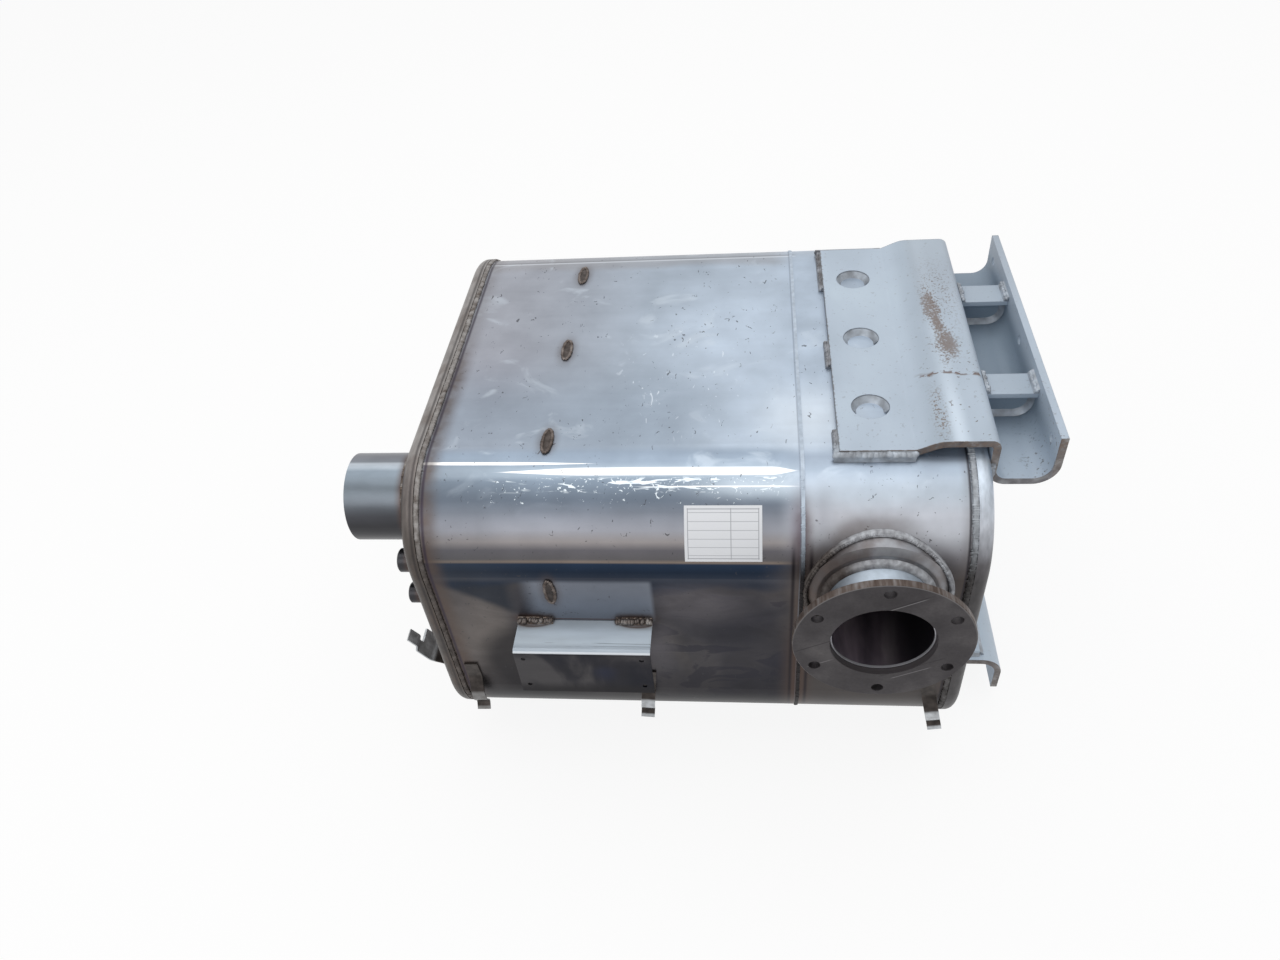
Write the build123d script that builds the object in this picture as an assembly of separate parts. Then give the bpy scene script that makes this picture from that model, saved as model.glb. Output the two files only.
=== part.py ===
# Catalytic muffler for a heavy engine: a welded stainless box with rounded corners that
# lies along X, with two catalyst cans between its baffles.
# The gas comes in through the six-hole flange on the front (-Y) and leaves by the plain
# pipe on the left (-X). Two folded plates, one on top and one below, carry the right end.
# Everything is drawn about the middle of the body. The last step moves it so that the
# origin is the centre of the inlet flange's outer face.
from build123d import *
from math import cos, radians, sin
import os

# Body, sizes at the outside of the shell
BODY_LENGTH = 638.0  # over both end caps
BODY_DEPTH = 572.0
BODY_HEIGHT = 420.0
CORNER_R = 105.0
SHELL_T = 2.0
FIT = 0.3  # clearance between curved faces that seat on each other
FRONT_Y = -BODY_DEPTH / 2
TOP_Z = BODY_HEIGHT / 2

# End caps, pressed dishes whose skirts slide over the shell
CAP_T = 2.5
CAP_DEPTH = 17.0
CAP_KNUCKLE_R = 12.0
CAP_LAP = CAP_DEPTH - CAP_KNUCKLE_R - FIT  # shell that runs on under the skirt
CAP_FACE_X = BODY_LENGTH / 2
SEAM_X = CAP_FACE_X - CAP_DEPTH

# Inlet flange, pipe and collar, on the front of the shell
INLET_SETBACK = 115.0  # from the right cap's face
INLET_X = CAP_FACE_X - INLET_SETBACK
INLET_Z = 85.0
INLET_REACH = 68.0
INLET_FACE_Y = FRONT_Y - INLET_REACH
FLANGE_R = 94.0
FLANGE_T = 9.0
FLANGE_BORE_R = 55.0
FLANGE_PCD = 160.0
FLANGE_HOLES = 6
FLANGE_HOLE_R = 6.5
INLET_PIPE_T = 2.0
INLET_PIPE_RECESS = 7.0
INLET_PIPE_INSIDE = 110.0
COLLAR_R = 75.0
COLLAR_TOP_R = 66.0
COLLAR_HEIGHT = 6.0

# Weld beads
SEAM_BEAD_WIDTH = 6.0
SEAM_BEAD_HEIGHT = 2.4
JOINT_BEAD_WIDTH = 4.0
JOINT_BEAD_HEIGHT = 1.0
FILLET_LEG = 6.0
SMALL_LEG = 4.0

# Shell joint and baffles
SHELL_JOINT_X = INLET_X - COLLAR_R - FILLET_LEG
BAFFLE_T = 2.5
BAFFLE_RIM = 16.0
BAFFLE_KNUCKLE_R = 8.0
OUTLET_BAFFLE_SETBACK = 160.0  # from the left cap's face to the rim's middle, where the slots are
OUTLET_BAFFLE_X = OUTLET_BAFFLE_SETBACK - CAP_FACE_X
INLET_BAFFLE_X = SHELL_JOINT_X
SLOT_LENGTH = 34.0
SLOT_WIDTH = 10.0
TOP_SLOT_PITCH = 169.0
TOP_SLOTS_Y = [-5.0 + step * TOP_SLOT_PITCH for step in (-1, 0, 1)]
FRONT_SLOT_Z = 82.0

# Catalyst cans
CAN_WALL_GAP = 22.0  # from a can to the shell's back or front
CAN_SPACING = 24.0  # between the two cans
CAN_R = (BODY_DEPTH - 2 * CAN_WALL_GAP - CAN_SPACING) / 4
CAN_T = 1.5
CAN_PITCH = 2 * CAN_R + CAN_SPACING
CAN_OVERHANG = 12.0
MAT_T = 6.0
BRICK_LENGTH = 230.0

# Outlet pipe, on the left end cap
OUTLET_R = 51.0
OUTLET_T = 2.0
OUTLET_DRAW = 1.5  # how far the pipe is drawn in where it enters the cap
OUTLET_SETBACK = 90.0  # from the shell's front
OUTLET_Y = FRONT_Y + OUTLET_SETBACK
OUTLET_Z = 146.0
OUTLET_REACH = 70.0
OUTLET_INSIDE = 60.0

# Sensor bosses, on the left end cap: centre Y, centre Z, outer radius, thread core radius
BOSS_REACH = 18.0
BOSS_SETBACK = 30.0  # from the shell's front
BOSS_STAGGER = 3.0
UPPER_BOSS = (FRONT_Y + BOSS_SETBACK, 101.0, 14.0, 9.2)
LOWER_BOSS = (FRONT_Y + BOSS_SETBACK - BOSS_STAGGER, 46.0, 12.5, 6.3)

# Mounting brackets, one folded plate each, above and below the body
PLATE_T = 8.0
BRACKET_LENGTH = 400.0
BRACKET_Y = -3.0
SADDLE_LENGTH = 157.5  # from its edge to the cap's face
JOGGLE_SETBACK = 53.0  # from the joggle's upper end to the cap's face
JOGGLE_RUN = 25.0
SADDLE_X = CAP_FACE_X - SADDLE_LENGTH
JOGGLE_END_X = CAP_FACE_X - JOGGLE_SETBACK
JOGGLE_START_X = JOGGLE_END_X - JOGGLE_RUN
JOGGLE_RISE = 11.5
CHANNEL_WIDTH = 57.0
# Inner face of the channel's floor and free edge of the outer plate, as heights off mid-body
UPPER_CHANNEL = (175.5, 232.0)
LOWER_CHANNEL = (162.0, 213.0)
LEG_BEND_R = 11.0
FLOOR_BEND_R = 20.0
PLATE_BEND_R = 27.0
SADDLE_HOLE_R = 21.0
SADDLE_HOLE_SETBACK = 38.5
SADDLE_HOLE_X = SADDLE_X + SADDLE_HOLE_SETBACK
SADDLE_HOLE_PITCH = 127.5
FIXING_HOLE_R = 5.5
FIXING_HOLE_PITCH = 173.0
FIXING_HOLE_DROP = 22.5
LEG_X = CAP_FACE_X + PLATE_T  # outer face of the leg, which lies on the end cap
PLATE_X = LEG_X + CHANNEL_WIDTH  # inner face of the outer plate

# Stiffeners inside each channel: a flat bar with a rib under it
BAR_WIDTH = 36.0
BAR_T = 6.0
BAR_DROP = 16.0  # from the outer plate's free edge
BAR_PITCH = 179.0
RIB_T = 6.0

# Stitches along the saddle's edge, as Y from the bracket's middle, and the leg's end beads
STITCHES = ((113.0, 200.0), (-48.0, -1.0), (-200.0, -162.0))
LEG_BEAD_LENGTH = 26.0
LEG_BEAD_DROP = 3.5

# Flat strip in the corner between the end cap and the lower channel
STRIP_WIDTH = 43.0
STRIP_LENGTH = 382.0

# Front bracket, a folded sheet
FRONT_BRACKET_X = -125.0
FRONT_BRACKET_WIDTH = 158.0
FRONT_BRACKET_TOP_Z = 30.0
FRONT_BRACKET_REACH = 46.0
FRONT_BRACKET_DROP = 78.0
FRONT_BRACKET_T = 2.5
FRONT_BRACKET_BEND_R = 6.0
FRONT_HOLE_R = 2.75
FRONT_HOLE_PITCH_X = 137.0
FRONT_HOLE_PITCH_Z = 50.0

# Hook strips, as (distance out, distance down) along the strip's outer face
HOOK_WIDTH = 17.0
HOOK_T = 2.0
HOOK_PATH = ((2.3, 0.0), (2.3, 26.0), (13.5, 46.0), (15.0, 60.0), (8.5, 71.0), (15.5, 80.0))
HOOK_BEND_R = (12.0, 14.0, 12.0, 4.0)
# Each front hook: X, Z of its top end, lean in degrees
FRONT_HOOKS = ((21.0 - SEAM_X, -59.0, -3.0), (-57.5, -69.0, 5.0), (SEAM_X - 26.5, -84.0, -12.0))
END_HOOK_Y = -263.0
END_HOOK_Z = -108.0
END_HOOK_PATH = ((2.0, 0.0), (2.0, 24.0), (22.0, 32.0), (36.0, 52.0), (33.0, 62.0), (42.0, 74.0))
END_HOOK_BEND_R = (8.0, 10.0, 5.0, 4.0)
END_HOOK_FOOT_WIDTH = 38.0
END_HOOK_FOOT_LENGTH = 48.0

# Sticker on the front rounded corner
LABEL_X = (-3.0, 80.0)
LABEL_START_DEG = 41.0  # from straight up
LABEL_ARC_DEG = 34.5
LABEL_T = 0.3

INLET_FACE = Location((INLET_X, INLET_FACE_Y, INLET_Z))


def body_prism(x_start, x_end, grow=0.0):
    """The body's cross-section, grown by a margin, between two X positions."""
    section = RectangleRounded(BODY_DEPTH + 2 * grow, BODY_HEIGHT + 2 * grow, CORNER_R + grow)
    return extrude(Plane.YZ.offset(x_start) * section, x_end - x_start)


def body_ring(x_start, x_end, inner_grow, outer_grow):
    return body_prism(x_start, x_end, outer_grow) - body_prism(x_start, x_end, inner_grow)


def dish(face_x, edge_x, grow, sheet, knuckle_r):
    """A pressed dish: a flat face at face_x and a skirt that ends at edge_x."""
    inward = 1 if edge_x > face_x else -1
    outer = body_prism(*sorted((face_x, edge_x)), grow)
    outer = fillet(outer.faces().sort_by(Axis.X)[0 if inward > 0 else -1].edges(), knuckle_r)
    floor_x = face_x + inward * sheet
    inner = body_prism(*sorted((floor_x, edge_x)), grow - sheet)
    inner = fillet(inner.faces().sort_by(Axis.X)[0 if inward > 0 else -1].edges(), knuckle_r - sheet)
    return outer - inner


def rod_x(x_start, x_end, y, z, radius):
    return extrude(Plane.YZ.offset(x_start) * Pos(y, z) * Circle(radius), x_end - x_start)


def tube_x(x_start, x_end, y, z, radius, wall):
    return rod_x(x_start, x_end, y, z, radius) - rod_x(x_start, x_end, y, z, radius - wall)


def inlet_plane(y):
    """A plane across the inlet's axis at y; what is drawn on it extrudes into the body."""
    return Plane((INLET_X, y, INLET_Z), x_dir=(1, 0, 0), z_dir=(0, 1, 0))


def inlet_rod(y_start, y_end, radius):
    return extrude(inlet_plane(y_start) * Circle(radius), y_end - y_start)


def inlet_tube(y_start, y_end, radius, wall):
    return inlet_rod(y_start, y_end, radius) - inlet_rod(y_start, y_end, radius - wall)


def bead_section(leg):
    """A fillet weld's section in the corner between +X and +Y, a little crowned."""
    crown = 0.62 * leg
    edges = Line((0, 0), (leg, 0)), ThreePointArc((leg, 0), (crown, crown), (0, leg)), Line((0, leg), (0, 0))
    return make_face(Curve() + list(edges))


def ring_bead(radius, leg):
    """A fillet bead round a pipe of this radius, standing on the XY plane."""
    return revolve(Plane.XZ * Pos(radius, 0) * bead_section(leg), Axis.Z)


def folded(path, bend_radii, sheet, side):
    """The section of a folded sheet, from the path of one face."""
    face_line = FilletPolyline(*path, radius=bend_radii)
    return make_face(offset(face_line, sheet, side=side))


# Shell, caps and baffles
def slot_cutters(clearance=0.0):
    """Solids through the slots over the outlet baffle's rim, on all four sides."""
    cutters = []
    slot = SlotOverall(SLOT_LENGTH - 2 * clearance, SLOT_WIDTH - 2 * clearance, rotation=90)
    for side in (1, -1):
        for y in TOP_SLOTS_Y:
            cutters.append(Pos(OUTLET_BAFFLE_X, y, side * TOP_Z) * extrude(slot, 10, both=True))
        on_side = Plane((OUTLET_BAFFLE_X, side * BODY_DEPTH / 2, 0), x_dir=(1, 0, 0), z_dir=(0, -1, 0))
        for z in (FRONT_SLOT_Z, -FRONT_SLOT_Z):
            cutters.append(on_side * Pos(0, z) * extrude(slot, 10, both=True))
    return cutters


def shell_main():
    skin = body_ring(-SEAM_X - CAP_LAP, SHELL_JOINT_X, -SHELL_T, 0.0)
    return skin - slot_cutters()


def shell_inlet():
    skin = body_ring(SHELL_JOINT_X, SEAM_X + CAP_LAP, -SHELL_T, 0.0)
    return skin - inlet_rod(INLET_FACE_Y, 0, FLANGE_BORE_R + FIT)


def end_cap_outlet():
    cap = dish(-CAP_FACE_X, -SEAM_X, FIT + CAP_T, CAP_T, CAP_KNUCKLE_R)
    cap -= rod_x(-CAP_FACE_X - 1, -SEAM_X, OUTLET_Y, OUTLET_Z, OUTLET_R - OUTLET_DRAW + FIT)
    for y, z, _, core_r in (UPPER_BOSS, LOWER_BOSS):
        cap -= rod_x(-CAP_FACE_X - 1, -SEAM_X, y, z, core_r + 1)
    return cap


def end_cap_inlet():
    return dish(CAP_FACE_X, SEAM_X, FIT + CAP_T, CAP_T, CAP_KNUCKLE_R)


def can_positions():
    return [(-CAN_PITCH / 2, 0.0), (CAN_PITCH / 2, 0.0)]


def baffle(middle_x):
    half_rim = BAFFLE_RIM / 2
    plate = dish(middle_x - half_rim, middle_x + half_rim, -SHELL_T - FIT, BAFFLE_T, BAFFLE_KNUCKLE_R)
    for y, z in can_positions():
        plate -= rod_x(middle_x - BAFFLE_RIM, middle_x + BAFFLE_RIM, y, z, CAN_R + FIT)
    return plate


# Catalyst
CAN_START_X = OUTLET_BAFFLE_X - BAFFLE_RIM / 2 - CAN_OVERHANG
CAN_END_X = INLET_BAFFLE_X + BAFFLE_RIM / 2 + CAN_OVERHANG
BRICK_START_X = (CAN_START_X + CAN_END_X - BRICK_LENGTH) / 2
BRICK_END_X = BRICK_START_X + BRICK_LENGTH
MAT_R = CAN_R - CAN_T - FIT
BRICK_R = MAT_R - MAT_T - FIT


def catalyst_cans():
    return Compound([tube_x(CAN_START_X, CAN_END_X, y, z, CAN_R, CAN_T) for y, z in can_positions()])


def catalyst_mats():
    return Compound([tube_x(BRICK_START_X, BRICK_END_X, y, z, MAT_R, MAT_T) for y, z in can_positions()])


def catalyst_bricks():
    return Compound([rod_x(BRICK_START_X, BRICK_END_X, y, z, BRICK_R) for y, z in can_positions()])


# Outlet pipe and sensor bosses
def outlet_pipe():
    """The pipe, drawn in under its weld so that its inner end passes the cap."""
    mouth, neck = OUTLET_REACH, SMALL_LEG
    outer_r, inner_r = OUTLET_R, OUTLET_R - OUTLET_DRAW
    outside = [(mouth, outer_r), (neck, outer_r), (0, inner_r), (-OUTLET_INSIDE, inner_r)]
    inside = [(x, r - OUTLET_T) for x, r in reversed(outside)]
    section = make_face(Polyline(*outside, *inside, close=True))
    return outlet_place() * revolve(section, Axis.X)


def outlet_weld():
    """The bead between the cap's face and the pipe, which follows the drawn-in part."""
    foot_r = OUTLET_R - OUTLET_DRAW + FIT
    section = make_face(Polyline((SMALL_LEG, OUTLET_R), (0, OUTLET_R + SMALL_LEG), (0, foot_r), close=True))
    return outlet_place() * revolve(section, Axis.X)


def outlet_place():
    """Turns X outward along the outlet pipe, from the left cap's face."""
    return Plane((-CAP_FACE_X, OUTLET_Y, OUTLET_Z), x_dir=(-1, 0, 0), z_dir=(0, 0, 1))


def sensor_boss(y, z, radius, core_r):
    """A turned boss on the left end cap, chamfered at its mouth."""
    mouth_x = -CAP_FACE_X - BOSS_REACH
    boss = rod_x(mouth_x, -CAP_FACE_X, y, z, radius)
    boss = chamfer(boss.faces().sort_by(Axis.X)[0].edges(), 1.5)
    boss -= rod_x(mouth_x - 1, -CAP_FACE_X + 1, y, z, core_r)
    return boss


def boss_welds():
    beads = []
    for y, z, radius, _ in (UPPER_BOSS, LOWER_BOSS):
        foot = Plane((-CAP_FACE_X, y, z), x_dir=(0, 1, 0), z_dir=(-1, 0, 0))
        beads.append(foot * ring_bead(radius + FIT, SMALL_LEG - 1))
    return Compound(beads)


# Inlet
def inlet_flange():
    ring = inlet_rod(INLET_FACE_Y, INLET_FACE_Y + FLANGE_T, FLANGE_R)
    ring = chamfer(ring.edges().filter_by(GeomType.CIRCLE), 0.8)
    ring -= inlet_rod(INLET_FACE_Y - 1, INLET_FACE_Y + FLANGE_T + 1, FLANGE_BORE_R)
    drills = Sketch() + PolarLocations(FLANGE_PCD / 2, FLANGE_HOLES, start_angle=90) * Circle(FLANGE_HOLE_R)
    return ring - extrude(inlet_plane(INLET_FACE_Y - 1) * drills, FLANGE_T + 2)


def inlet_pipe():
    start_y = INLET_FACE_Y + INLET_PIPE_RECESS
    return inlet_tube(start_y, FRONT_Y + INLET_PIPE_INSIDE, FLANGE_BORE_R - FIT, INLET_PIPE_T)


def inlet_collar():
    """A pressed collar whose foot is trimmed to the shell's rounded corner."""
    foot_y = -CORNER_R / 3
    outline = Polyline((FLANGE_BORE_R, foot_y), (COLLAR_R, foot_y), (COLLAR_R, 1.0),
                       (COLLAR_TOP_R, COLLAR_HEIGHT), (FLANGE_BORE_R, COLLAR_HEIGHT), close=True)
    section = make_face(outline)
    shoulder = section.vertices().group_by(Axis.Y)[-1].sort_by(Axis.X)[-1]
    section = fillet(shoulder, 4)
    outward = Plane((INLET_X, FRONT_Y, INLET_Z), x_dir=(1, 0, 0), z_dir=(0, -1, 0))
    collar = outward * revolve(Plane.XZ * section, Axis.Z)
    return collar - body_prism(0, SEAM_X, FIT)


def collar_foot_weld():
    """A bead round the collar's foot that follows the shell's surface."""
    band = inlet_tube(FRONT_Y - 10, FRONT_Y + CORNER_R / 2, COLLAR_R + FILLET_LEG, FILLET_LEG - FIT)
    band &= body_ring(0, SEAM_X, FIT, FILLET_LEG * 0.6)
    crown = band.faces().sort_by(Axis.Y)[0].edges()
    joint_bead_end_x = SHELL_JOINT_X + JOINT_BEAD_WIDTH / 2
    return chamfer(crown, 1.2) - body_prism(0, joint_bead_end_x + FIT, FILLET_LEG)


def collar_neck_weld():
    foot = Plane((INLET_X, FRONT_Y - COLLAR_HEIGHT, INLET_Z), x_dir=(1, 0, 0), z_dir=(0, -1, 0))
    return foot * ring_bead(FLANGE_BORE_R, FILLET_LEG + 1)


# Mounting brackets
def bracket_section(floor_z, edge_z):
    """The folded plate's section: saddle, joggle over the cap's rim, leg, floor, outer plate."""
    flat_z = TOP_Z + PLATE_T + JOGGLE_RISE
    path = ((SADDLE_X, TOP_Z + PLATE_T), (JOGGLE_START_X, TOP_Z + PLATE_T), (JOGGLE_END_X, flat_z),
            (LEG_X, flat_z), (LEG_X, floor_z), (PLATE_X, floor_z), (PLATE_X, edge_z))
    bends = (9.0, 40.0, LEG_BEND_R, FLOOR_BEND_R - PLATE_T, PLATE_BEND_R - PLATE_T)
    return folded(path, bends, PLATE_T, Side.RIGHT)


def across(y):
    """The XZ plane at y, whose extrusions run along Y."""
    return Plane((0, y, 0), x_dir=(1, 0, 0), z_dir=(0, -1, 0))


def bracket(floor_z, edge_z):
    section = bracket_section(floor_z, edge_z)
    plate = extrude(across(BRACKET_Y) * section, BRACKET_LENGTH / 2, both=True)
    for y in saddle_hole_ys():
        plate -= Pos(SADDLE_HOLE_X, y, TOP_Z) * Cylinder(SADDLE_HOLE_R, 4 * PLATE_T)
    for step in (-1, 0, 1):
        y = BRACKET_Y + step * FIXING_HOLE_PITCH
        plate -= rod_x(PLATE_X - 1, PLATE_X + PLATE_T + 1, y, edge_z - FIXING_HOLE_DROP, FIXING_HOLE_R)
    return plate


def saddle_hole_ys():
    return [BRACKET_Y + step * SADDLE_HOLE_PITCH for step in (-1, 0, 1)]


def stiffener_ys():
    return BRACKET_Y - BAR_PITCH / 2, BRACKET_Y + BAR_PITCH / 2


def stiffener_bars(floor_z, edge_z):
    bar = Box(CHANNEL_WIDTH, BAR_WIDTH, BAR_T, align=(Align.MIN, Align.CENTER, Align.MAX))
    return Compound([Pos(LEG_X, y, edge_z - BAR_DROP) * bar for y in stiffener_ys()])


def channel_contour(floor_z, edge_z, inset):
    """The line round the inside of a channel up to the bars' underside."""
    left_x, right_x, low_z = LEG_X + inset, PLATE_X - inset, floor_z + inset
    top_z = edge_z - BAR_DROP - BAR_T - inset
    corners = ((left_x, top_z), (left_x, low_z), (right_x, low_z), (right_x, top_z))
    return FilletPolyline(*corners, radius=(FLOOR_BEND_R - PLATE_T + 1, PLATE_BEND_R - PLATE_T + 1))


def stiffener_ribs(floor_z, edge_z):
    """Upright ribs under the bars, cut to the channel's bends."""
    outline = channel_contour(floor_z, edge_z, 0.0)
    face = make_face(outline + Line(outline @ 1, outline @ 0))
    return Compound([extrude(across(y) * face, RIB_T / 2, both=True) for y in stiffener_ys()])


def rib_bead(floor_z, edge_z, y, side):
    """The bead that follows the channel round the foot of a rib, on one side of it."""
    route = across(y + side * RIB_T / 2) * channel_contour(floor_z, edge_z, FIT)
    leg = Polyline((0, 0), (FILLET_LEG, 0), (0, side * FILLET_LEG), close=True)
    start = Plane(route @ 0, x_dir=(1, 0, 0), z_dir=(0, 0, -1))
    turned = make_face(mirror(leg, Plane.XZ))
    return sweep(start * turned, path=route)


def straight_bead(start, end, leg, first, second):
    """A fillet bead from start to end, whose two legs lie along first and second."""
    along = Vector(*end) - Vector(*start)
    frame = Plane(start, x_dir=first, z_dir=along.normalized())
    flip = frame.y_dir.dot(Vector(*second)) < 0
    section = mirror(bead_section(leg), Plane.XZ) if flip else bead_section(leg)
    return extrude(frame * section, along.length)


def bracket_welds(floor_z, edge_z):
    """Stitches down the saddle's edge, runs along its ends and beads in the channel."""
    beads = []
    for stitch in STITCHES:
        start, end = [(SADDLE_X, BRACKET_Y + y, TOP_Z) for y in stitch]
        beads.append(straight_bead(start, end, FILLET_LEG, (-1, 0, 0), (0, 0, 1)))
    body = body_prism(0, SEAM_X, FIT)
    for side in (-1, 1):
        end_y = BRACKET_Y + side * BRACKET_LENGTH / 2
        run_start_x = SADDLE_X - FILLET_LEG
        run = Box(JOGGLE_START_X - run_start_x, FILLET_LEG, PLATE_T + 4,
                  align=(Align.MIN, Align.MIN if side > 0 else Align.MAX, Align.MAX))
        run = Pos(run_start_x, end_y, TOP_Z + PLATE_T - 1) * run
        top_edge = run.edges().filter_by(Axis.X).sort_by(lambda e: e.center().Z + side * e.center().Y)[-1]
        beads.append(fillet(top_edge, 4) - body)
        start = (CAP_FACE_X, end_y, floor_z - LEG_BEAD_DROP)
        end = (CAP_FACE_X, end_y, floor_z - LEG_BEAD_DROP + LEG_BEAD_LENGTH)
        beads.append(straight_bead(start, end, FILLET_LEG, (1, 0, 0), (0, side, 0)))
    bar_top_z = edge_z - BAR_DROP
    for y in stiffener_ys():
        for face_x, inward in ((LEG_X, 1), (PLATE_X, -1)):
            start, end = [(face_x, y + side * BAR_WIDTH / 2, bar_top_z) for side in (-1, 1)]
            beads.append(straight_bead(start, end, FILLET_LEG, (inward, 0, 0), (0, 0, 1)))
        for side in (-1, 1):
            beads.append(rib_bead(floor_z, edge_z, y, side))
    for y in saddle_hole_ys():
        beads.append(Pos(SADDLE_HOLE_X, y, TOP_Z) * hole_bead())
    return Compound(beads)


def hole_bead():
    """The weld inside a saddle hole, between the hole's wall and the shell."""
    outline = Polyline((SADDLE_HOLE_R - FIT, 0), (SADDLE_HOLE_R - FIT, PLATE_T - 1.5),
                       (SADDLE_HOLE_R - SMALL_LEG - 2, 0), close=True)
    return Rot(0, 0, -10) * revolve(Plane.XZ * make_face(outline), Axis.Z, revolution_arc=200)


def lower_strip():
    """The flat strip that lies on the lower channel's floor against the end cap."""
    strip = Box(STRIP_WIDTH, STRIP_LENGTH, PLATE_T, align=(Align.MIN, Align.CENTER, Align.MIN))
    return Pos(CAP_FACE_X, BRACKET_Y, PLATE_T - LOWER_CHANNEL[0]) * strip


def lower_strip_welds():
    """Beads along the strip's outer edge and across its ends."""
    edge_x, base_z = CAP_FACE_X + STRIP_WIDTH, PLATE_T - LOWER_CHANNEL[0]
    half = STRIP_LENGTH / 2
    beads = [straight_bead((edge_x, BRACKET_Y - half, base_z), (edge_x, BRACKET_Y + half, base_z),
                           FILLET_LEG, (1, 0, 0), (0, 0, 1))]
    for side in (-1, 1):
        y = BRACKET_Y + side * half
        beads.append(straight_bead((CAP_FACE_X + FLOOR_BEND_R, y, base_z), (edge_x, y, base_z),
                                   SMALL_LEG, (0, side, 0), (0, 0, 1)))
    return Compound(beads)


# Front bracket and hooks
def front_bracket():
    top_y = FRONT_Y - FIT
    fold_y = FRONT_Y - FRONT_BRACKET_REACH
    path = ((top_y, FRONT_BRACKET_TOP_Z), (fold_y, FRONT_BRACKET_TOP_Z),
            (fold_y, FRONT_BRACKET_TOP_Z - FRONT_BRACKET_DROP))
    section = folded(path, FRONT_BRACKET_BEND_R, FRONT_BRACKET_T, Side.LEFT)
    start = Plane.YZ.offset(FRONT_BRACKET_X)
    sheet = extrude(start * section, FRONT_BRACKET_WIDTH / 2, both=True)
    middle_z = FRONT_BRACKET_TOP_Z - FRONT_BRACKET_DROP / 2
    holes = Sketch() + GridLocations(FRONT_HOLE_PITCH_X, FRONT_HOLE_PITCH_Z, 2, 2) * Circle(FRONT_HOLE_R)
    face = Plane((FRONT_BRACKET_X, fold_y, middle_z), x_dir=(1, 0, 0), z_dir=(0, -1, 0))
    return sheet - extrude(face * holes, 2 * FRONT_BRACKET_T, both=True)


def front_bracket_welds():
    """A bead at each end of the top flange's rear edge."""
    length = 42.0
    left_x = FRONT_BRACKET_X - FRONT_BRACKET_WIDTH / 2
    right_x = FRONT_BRACKET_X + FRONT_BRACKET_WIDTH / 2
    y = FRONT_Y - FIT
    beads = []
    for x in (left_x, right_x - length):
        beads.append(straight_bead((x, y, FRONT_BRACKET_TOP_Z), (x + length, y, FRONT_BRACKET_TOP_Z),
                                   FILLET_LEG, (0, -1, 0), (0, 0, 1)))
    return Compound(beads)


def hook_strip(path, bend_radii, width=HOOK_WIDTH):
    """A hook drawn out along -Y and down along -Z from the origin, across X."""
    line = [(-out, -down) for out, down in path]
    return extrude(Plane.YZ * folded(line, bend_radii, HOOK_T, Side.LEFT), width / 2, both=True)


def front_hooks():
    strip = hook_strip(HOOK_PATH, HOOK_BEND_R)
    return Compound([Pos(x, FRONT_Y, z) * Rot(0, lean, 0) * strip for x, z, lean in FRONT_HOOKS])


def end_hook():
    """The same strip on the left end cap, with a broader foot and its hook turned up."""
    strip = hook_strip(END_HOOK_PATH, END_HOOK_BEND_R)
    foot_shift = (END_HOOK_FOOT_WIDTH - HOOK_WIDTH) / 2
    foot = hook_strip(END_HOOK_PATH, END_HOOK_BEND_R, END_HOOK_FOOT_WIDTH)
    foot &= Box(END_HOOK_FOOT_WIDTH, 2 * END_HOOK_FOOT_LENGTH, 2 * END_HOOK_FOOT_LENGTH)
    hook = strip + Pos(foot_shift, 0, 0) * foot
    return Pos(-CAP_FACE_X, END_HOOK_Y, END_HOOK_Z) * Rot(180, 0, -90) * hook


# Body welds and sticker
def seam_bead(start_x, end_x):
    """The run that joins the shell to a cap's skirt, all round."""
    ring = body_prism(start_x, end_x, FIT + SEAM_BEAD_HEIGHT)
    ring = fillet(ring.edges() - ring.edges().filter_by(Axis.X), SEAM_BEAD_HEIGHT * 0.8)
    return ring - body_prism(start_x - 1, end_x + 1, FIT)


def joint_bead():
    """The flatter run over the butt joint of the two shells."""
    half = JOINT_BEAD_WIDTH / 2
    return body_ring(SHELL_JOINT_X - half, SHELL_JOINT_X + half, FIT, FIT + JOINT_BEAD_HEIGHT)


def plug_welds():
    """Slots filled flush against the baffle's rim and crowned a little."""
    band = body_ring(OUTLET_BAFFLE_X - SLOT_WIDTH, OUTLET_BAFFLE_X + SLOT_WIDTH, -SHELL_T, 1.2)
    return Compound([cutter & band for cutter in slot_cutters(clearance=FIT)])


def label():
    """A paper sticker that wraps the front rounded corner."""
    axis_y, axis_z = FRONT_Y + CORNER_R, TOP_Z - CORNER_R
    start = radians(LABEL_START_DEG)
    outward = (0, -sin(start), cos(start))
    plane = Plane((0, axis_y, axis_z), x_dir=(1, 0, 0), z_dir=Vector(1, 0, 0).cross(Vector(*outward)))
    width = LABEL_X[1] - LABEL_X[0]
    strip = Pos(LABEL_X[0], CORNER_R + FIT / 2) * Rectangle(width, LABEL_T, align=Align.MIN)
    return revolve(plane * strip, Axis((0, axis_y, axis_z), (1, 0, 0)), revolution_arc=LABEL_ARC_DEG)


def below(shape):
    """The mirror image of a piece of the top bracket, for the bracket below."""
    return mirror(shape, Plane.XY)


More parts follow.
